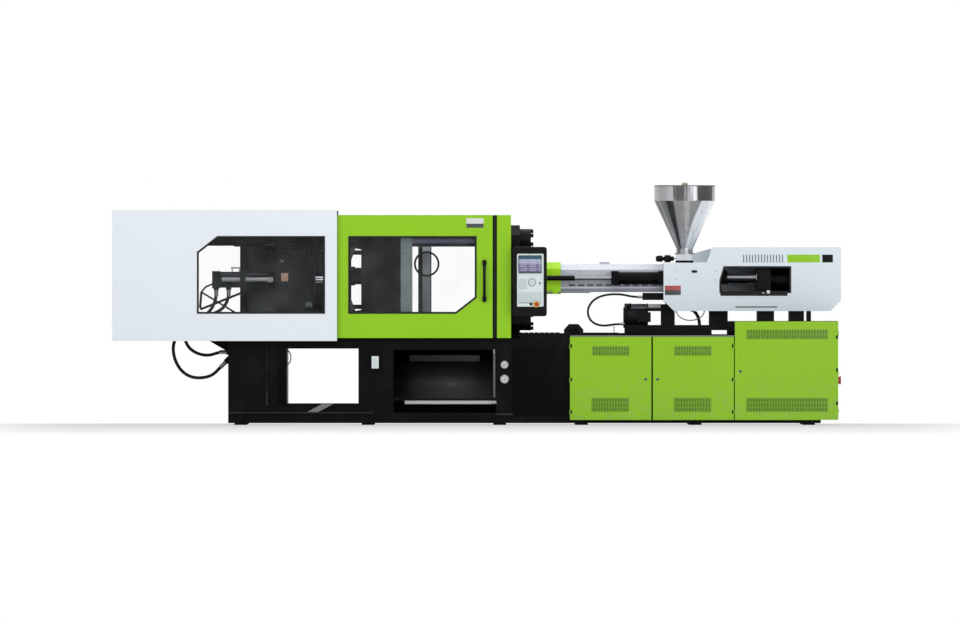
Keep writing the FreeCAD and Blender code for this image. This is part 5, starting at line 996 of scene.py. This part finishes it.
thin = [(-2.905, 1.560), (-3.000, 1.520), (-3.047, 1.463), (-2.684, 1.243), (-2.400, 1.140), (-2.225, 1.130)]
thick = [(-2.250, 1.540), (-2.500, 1.500), (-2.610, 1.452), (-3.047, 1.276), (-3.060, 1.300), (-3.047, 1.463)]
piece("clamp_pipes", "tail", ENAMEL,
      *[swept(placed((0, 0.108, 0), line), circle(radius, 10), Y)
        for line, radius in ((thin, 0.010), (thick, 0.013))])
piece("ejector_cylinder", "moving_platen", CAST,
      turned((-1.400, 0, 1.640), X,
             [(0, 0.085), (0.006, 0.105), (0.050, 0.105), (0.052, 0.092), (0.120, 0.092), (0.122, 0.108),
              (0.180, 0.108)]))
piece("cylinder_scale", "tail", ZINC,
      plaque((-2.665, 0.0, 1.722), (0.105, 0.024), 0.018, 0.003, 0.001, "top"),
      *[turned((x, 0, 1.660), Z, [(0, 0.006), (0.064, 0.006)], 10) for x in (-2.705, -2.625)])
piece("far_gate_plate", "rear_gate", PALE_PLASTIC,
      plaque((-0.562, 0.840, 1.617), (0.086, 0.766), 0.0015, 0.004, 0.0005))


# ---- plates, screws, grips and pipes


def screws(y, places, radius, depth):
    """Pan heads towards the operator: low domes at places of one face."""
    head = [(0, radius), (depth * 0.4, radius), (depth * 0.85, radius * 0.7), (depth, radius * 0.25)]
    return [turned((x, y, z), -Y, head, 12) for x, z in places]


HOUSE_Y = -0.385
piece("gate_plate", "front_gate",
      striped_plate("gate_plate_fields", (222, 224, 224), (58, 60, 64), 2.215),
      plaque((-0.022, -0.880, 2.222), (0.190, 0.104), 0.0012, 0.006, 0.0005))
piece("gate_plate_rivets", "front_gate", ZINC,
      *screws(-0.8812, [(x, z) for x in (-0.108, 0.064) for z in (2.180, 2.264)], 0.003, 0.0015))
piece("housing_plate", "carriage",
      striped_plate("housing_plate_fields", (172, 62, 60), (44, 52, 50), 1.484),
      plaque((2.160, HOUSE_Y, 1.482), (0.176, 0.104), 0.0012, 0.004, 0.0005))
piece("housing_screws", "carriage", ZINC,
      *screws(HOUSE_Y, [(2.189, 1.705), (2.189, 1.606), (2.629, 1.694), (2.629, 1.595)], 0.007, 0.003))
piece("housing_bars", "carriage", moulded_plastic("bar_print", (120, 126, 132), 0.4),
      repeated(plaque((2.940, HOUSE_Y, 1.8325), (0.013, 0.086), 0.0008, 0.002, 0.0004),
               lattice(np.arange(14) * 0.033)))
piece("housing_green_bar", "carriage", GREEN_GATE,
      plaque((3.603, HOUSE_Y, 1.8325), (0.360, 0.086), 0.0008, 0.004, 0.0004))
piece("housing_dark_bar", "carriage", BLACK_PLASTIC,
      plaque((3.866, HOUSE_Y, 1.8325), (0.118, 0.086), 0.0008, 0.004, 0.0004))
piece("housing_sill", "carriage", GASKET,
      plaque((3.0545, HOUSE_Y, 1.442), (0.741, 0.042), 0.002, 0.004, 0.0008),
      plaque((2.397, HOUSE_Y, 1.690), (0.064, 0.030), 0.003, 0.0145, 0.001))
piece("housing_latch", "carriage", PALE_PLASTIC,
      plaque((3.213, HOUSE_Y - 0.002, 1.464), (0.034, 0.036), 0.006, 0.004, 0.002),
      plaque((3.158, HOUSE_Y - 0.002, 1.458), (0.028, 0.020), 0.004, 0.004, 0.0015))
gasket("housing_window_gasket", "carriage",
       [(2.684, 1.463), (3.454, 1.463), (3.454, 1.738), (2.728, 1.738), (2.684, 1.595)], HOUSE_Y)
piece("feed_gusset", "carriage", moulded_plastic("gusset_grey", (186, 194, 200), 0.4),
      sheet_cut((0, -0.110, 0), [(2.387, 1.790), (2.536, 1.790), (2.560, 1.860), (2.590, 1.945),
                                 (2.500, 1.922), (2.440, 1.905), (2.387, 1.885)], 0.040))
piece("shutter_grip", "hopper_shutter", BLACK_PLASTIC,
      turned((1.980, 0, 1.832), X,
             [(0, 0.020), (0.010, 0.034), (0.060, 0.036), (0.075, 0.022), (0.085, 0.020), (0.095, 0.040),
              (0.150, 0.042), (0.165, 0.026), (0.195, 0.024)], 24))
piece("lid_knob", "hopper_lid", BEIGE_PLASTIC,
      turned((HOPPER_X, 0, 2.638), Z,
             [(0, 0.030), (0.006, 0.034), (0.024, 0.034), (0.031, 0.028), (0.033, 0.016)], 28))
piece("lid_rim", "hopper_lid", DULL_STEEL,
      swept(placed((HOPPER_X, 0, 2.637), circle(0.3335, 64), plane="top"), circle(0.006, 8), Z, closed=True))
piece("gate_handle_grip", "front_gate", BLACK_PLASTIC,
      turned((0.081, -0.935, 1.400), Z, [(0, 0.011), (0.012, 0.016), (0.358, 0.016), (0.370, 0.011)], 16),
      repeated(plaque((0.081, -0.880, 0.0), (0.044, 0.052), 0.030, 0.010, 0.006),
               lattice([0], [1.788, 1.380])))
piece("carriage_vent_line", "carriage", GREY_ENAMEL,
      bent((2.354, -0.300, 1.262), 0.155, 0.112, np.pi, 2 * np.pi, 20, circle(0.006, 8)))
# painted sheen: pale metal on the shell's top, above z 1.275 and right of x 1.70
piece("motor_shell", "carriage",
      cast_black("motor_shell_painted_sheen", lambda x, y, z: z.rise(1.275, 1.300) * (x > 1.70), (196, 198, 206)),
      turned((1.622, -0.020, 1.184), X,
             [(0, 0.070), (0.004, 0.105), (0.014, 0.132), (0.032, 0.148), (0.060, 0.1565), (0.244, 0.1565),
              (0.250, 0.150)], 48),
      repeated(plaque((1.630, -0.020, 1.184), (0.010, 0.230), 0.010, 0.004, 0.002, "left"),
               lattice(np.linspace(-0.060, 0.060, 7), plane="left")))
piece("carriage_oil_pipe", "carriage", ENAMEL,
      bent((2.345, -0.250, 1.100), 0.110, 0.170, np.pi / 2, 0, 8, circle(0.018, 12)))
piece("hose_ring", "rear_gate", RUBBER,
      swept(placed((-0.558, 0.812, 1.7765), circle(0.131, 48)), circle(0.011, 12), closed=True))
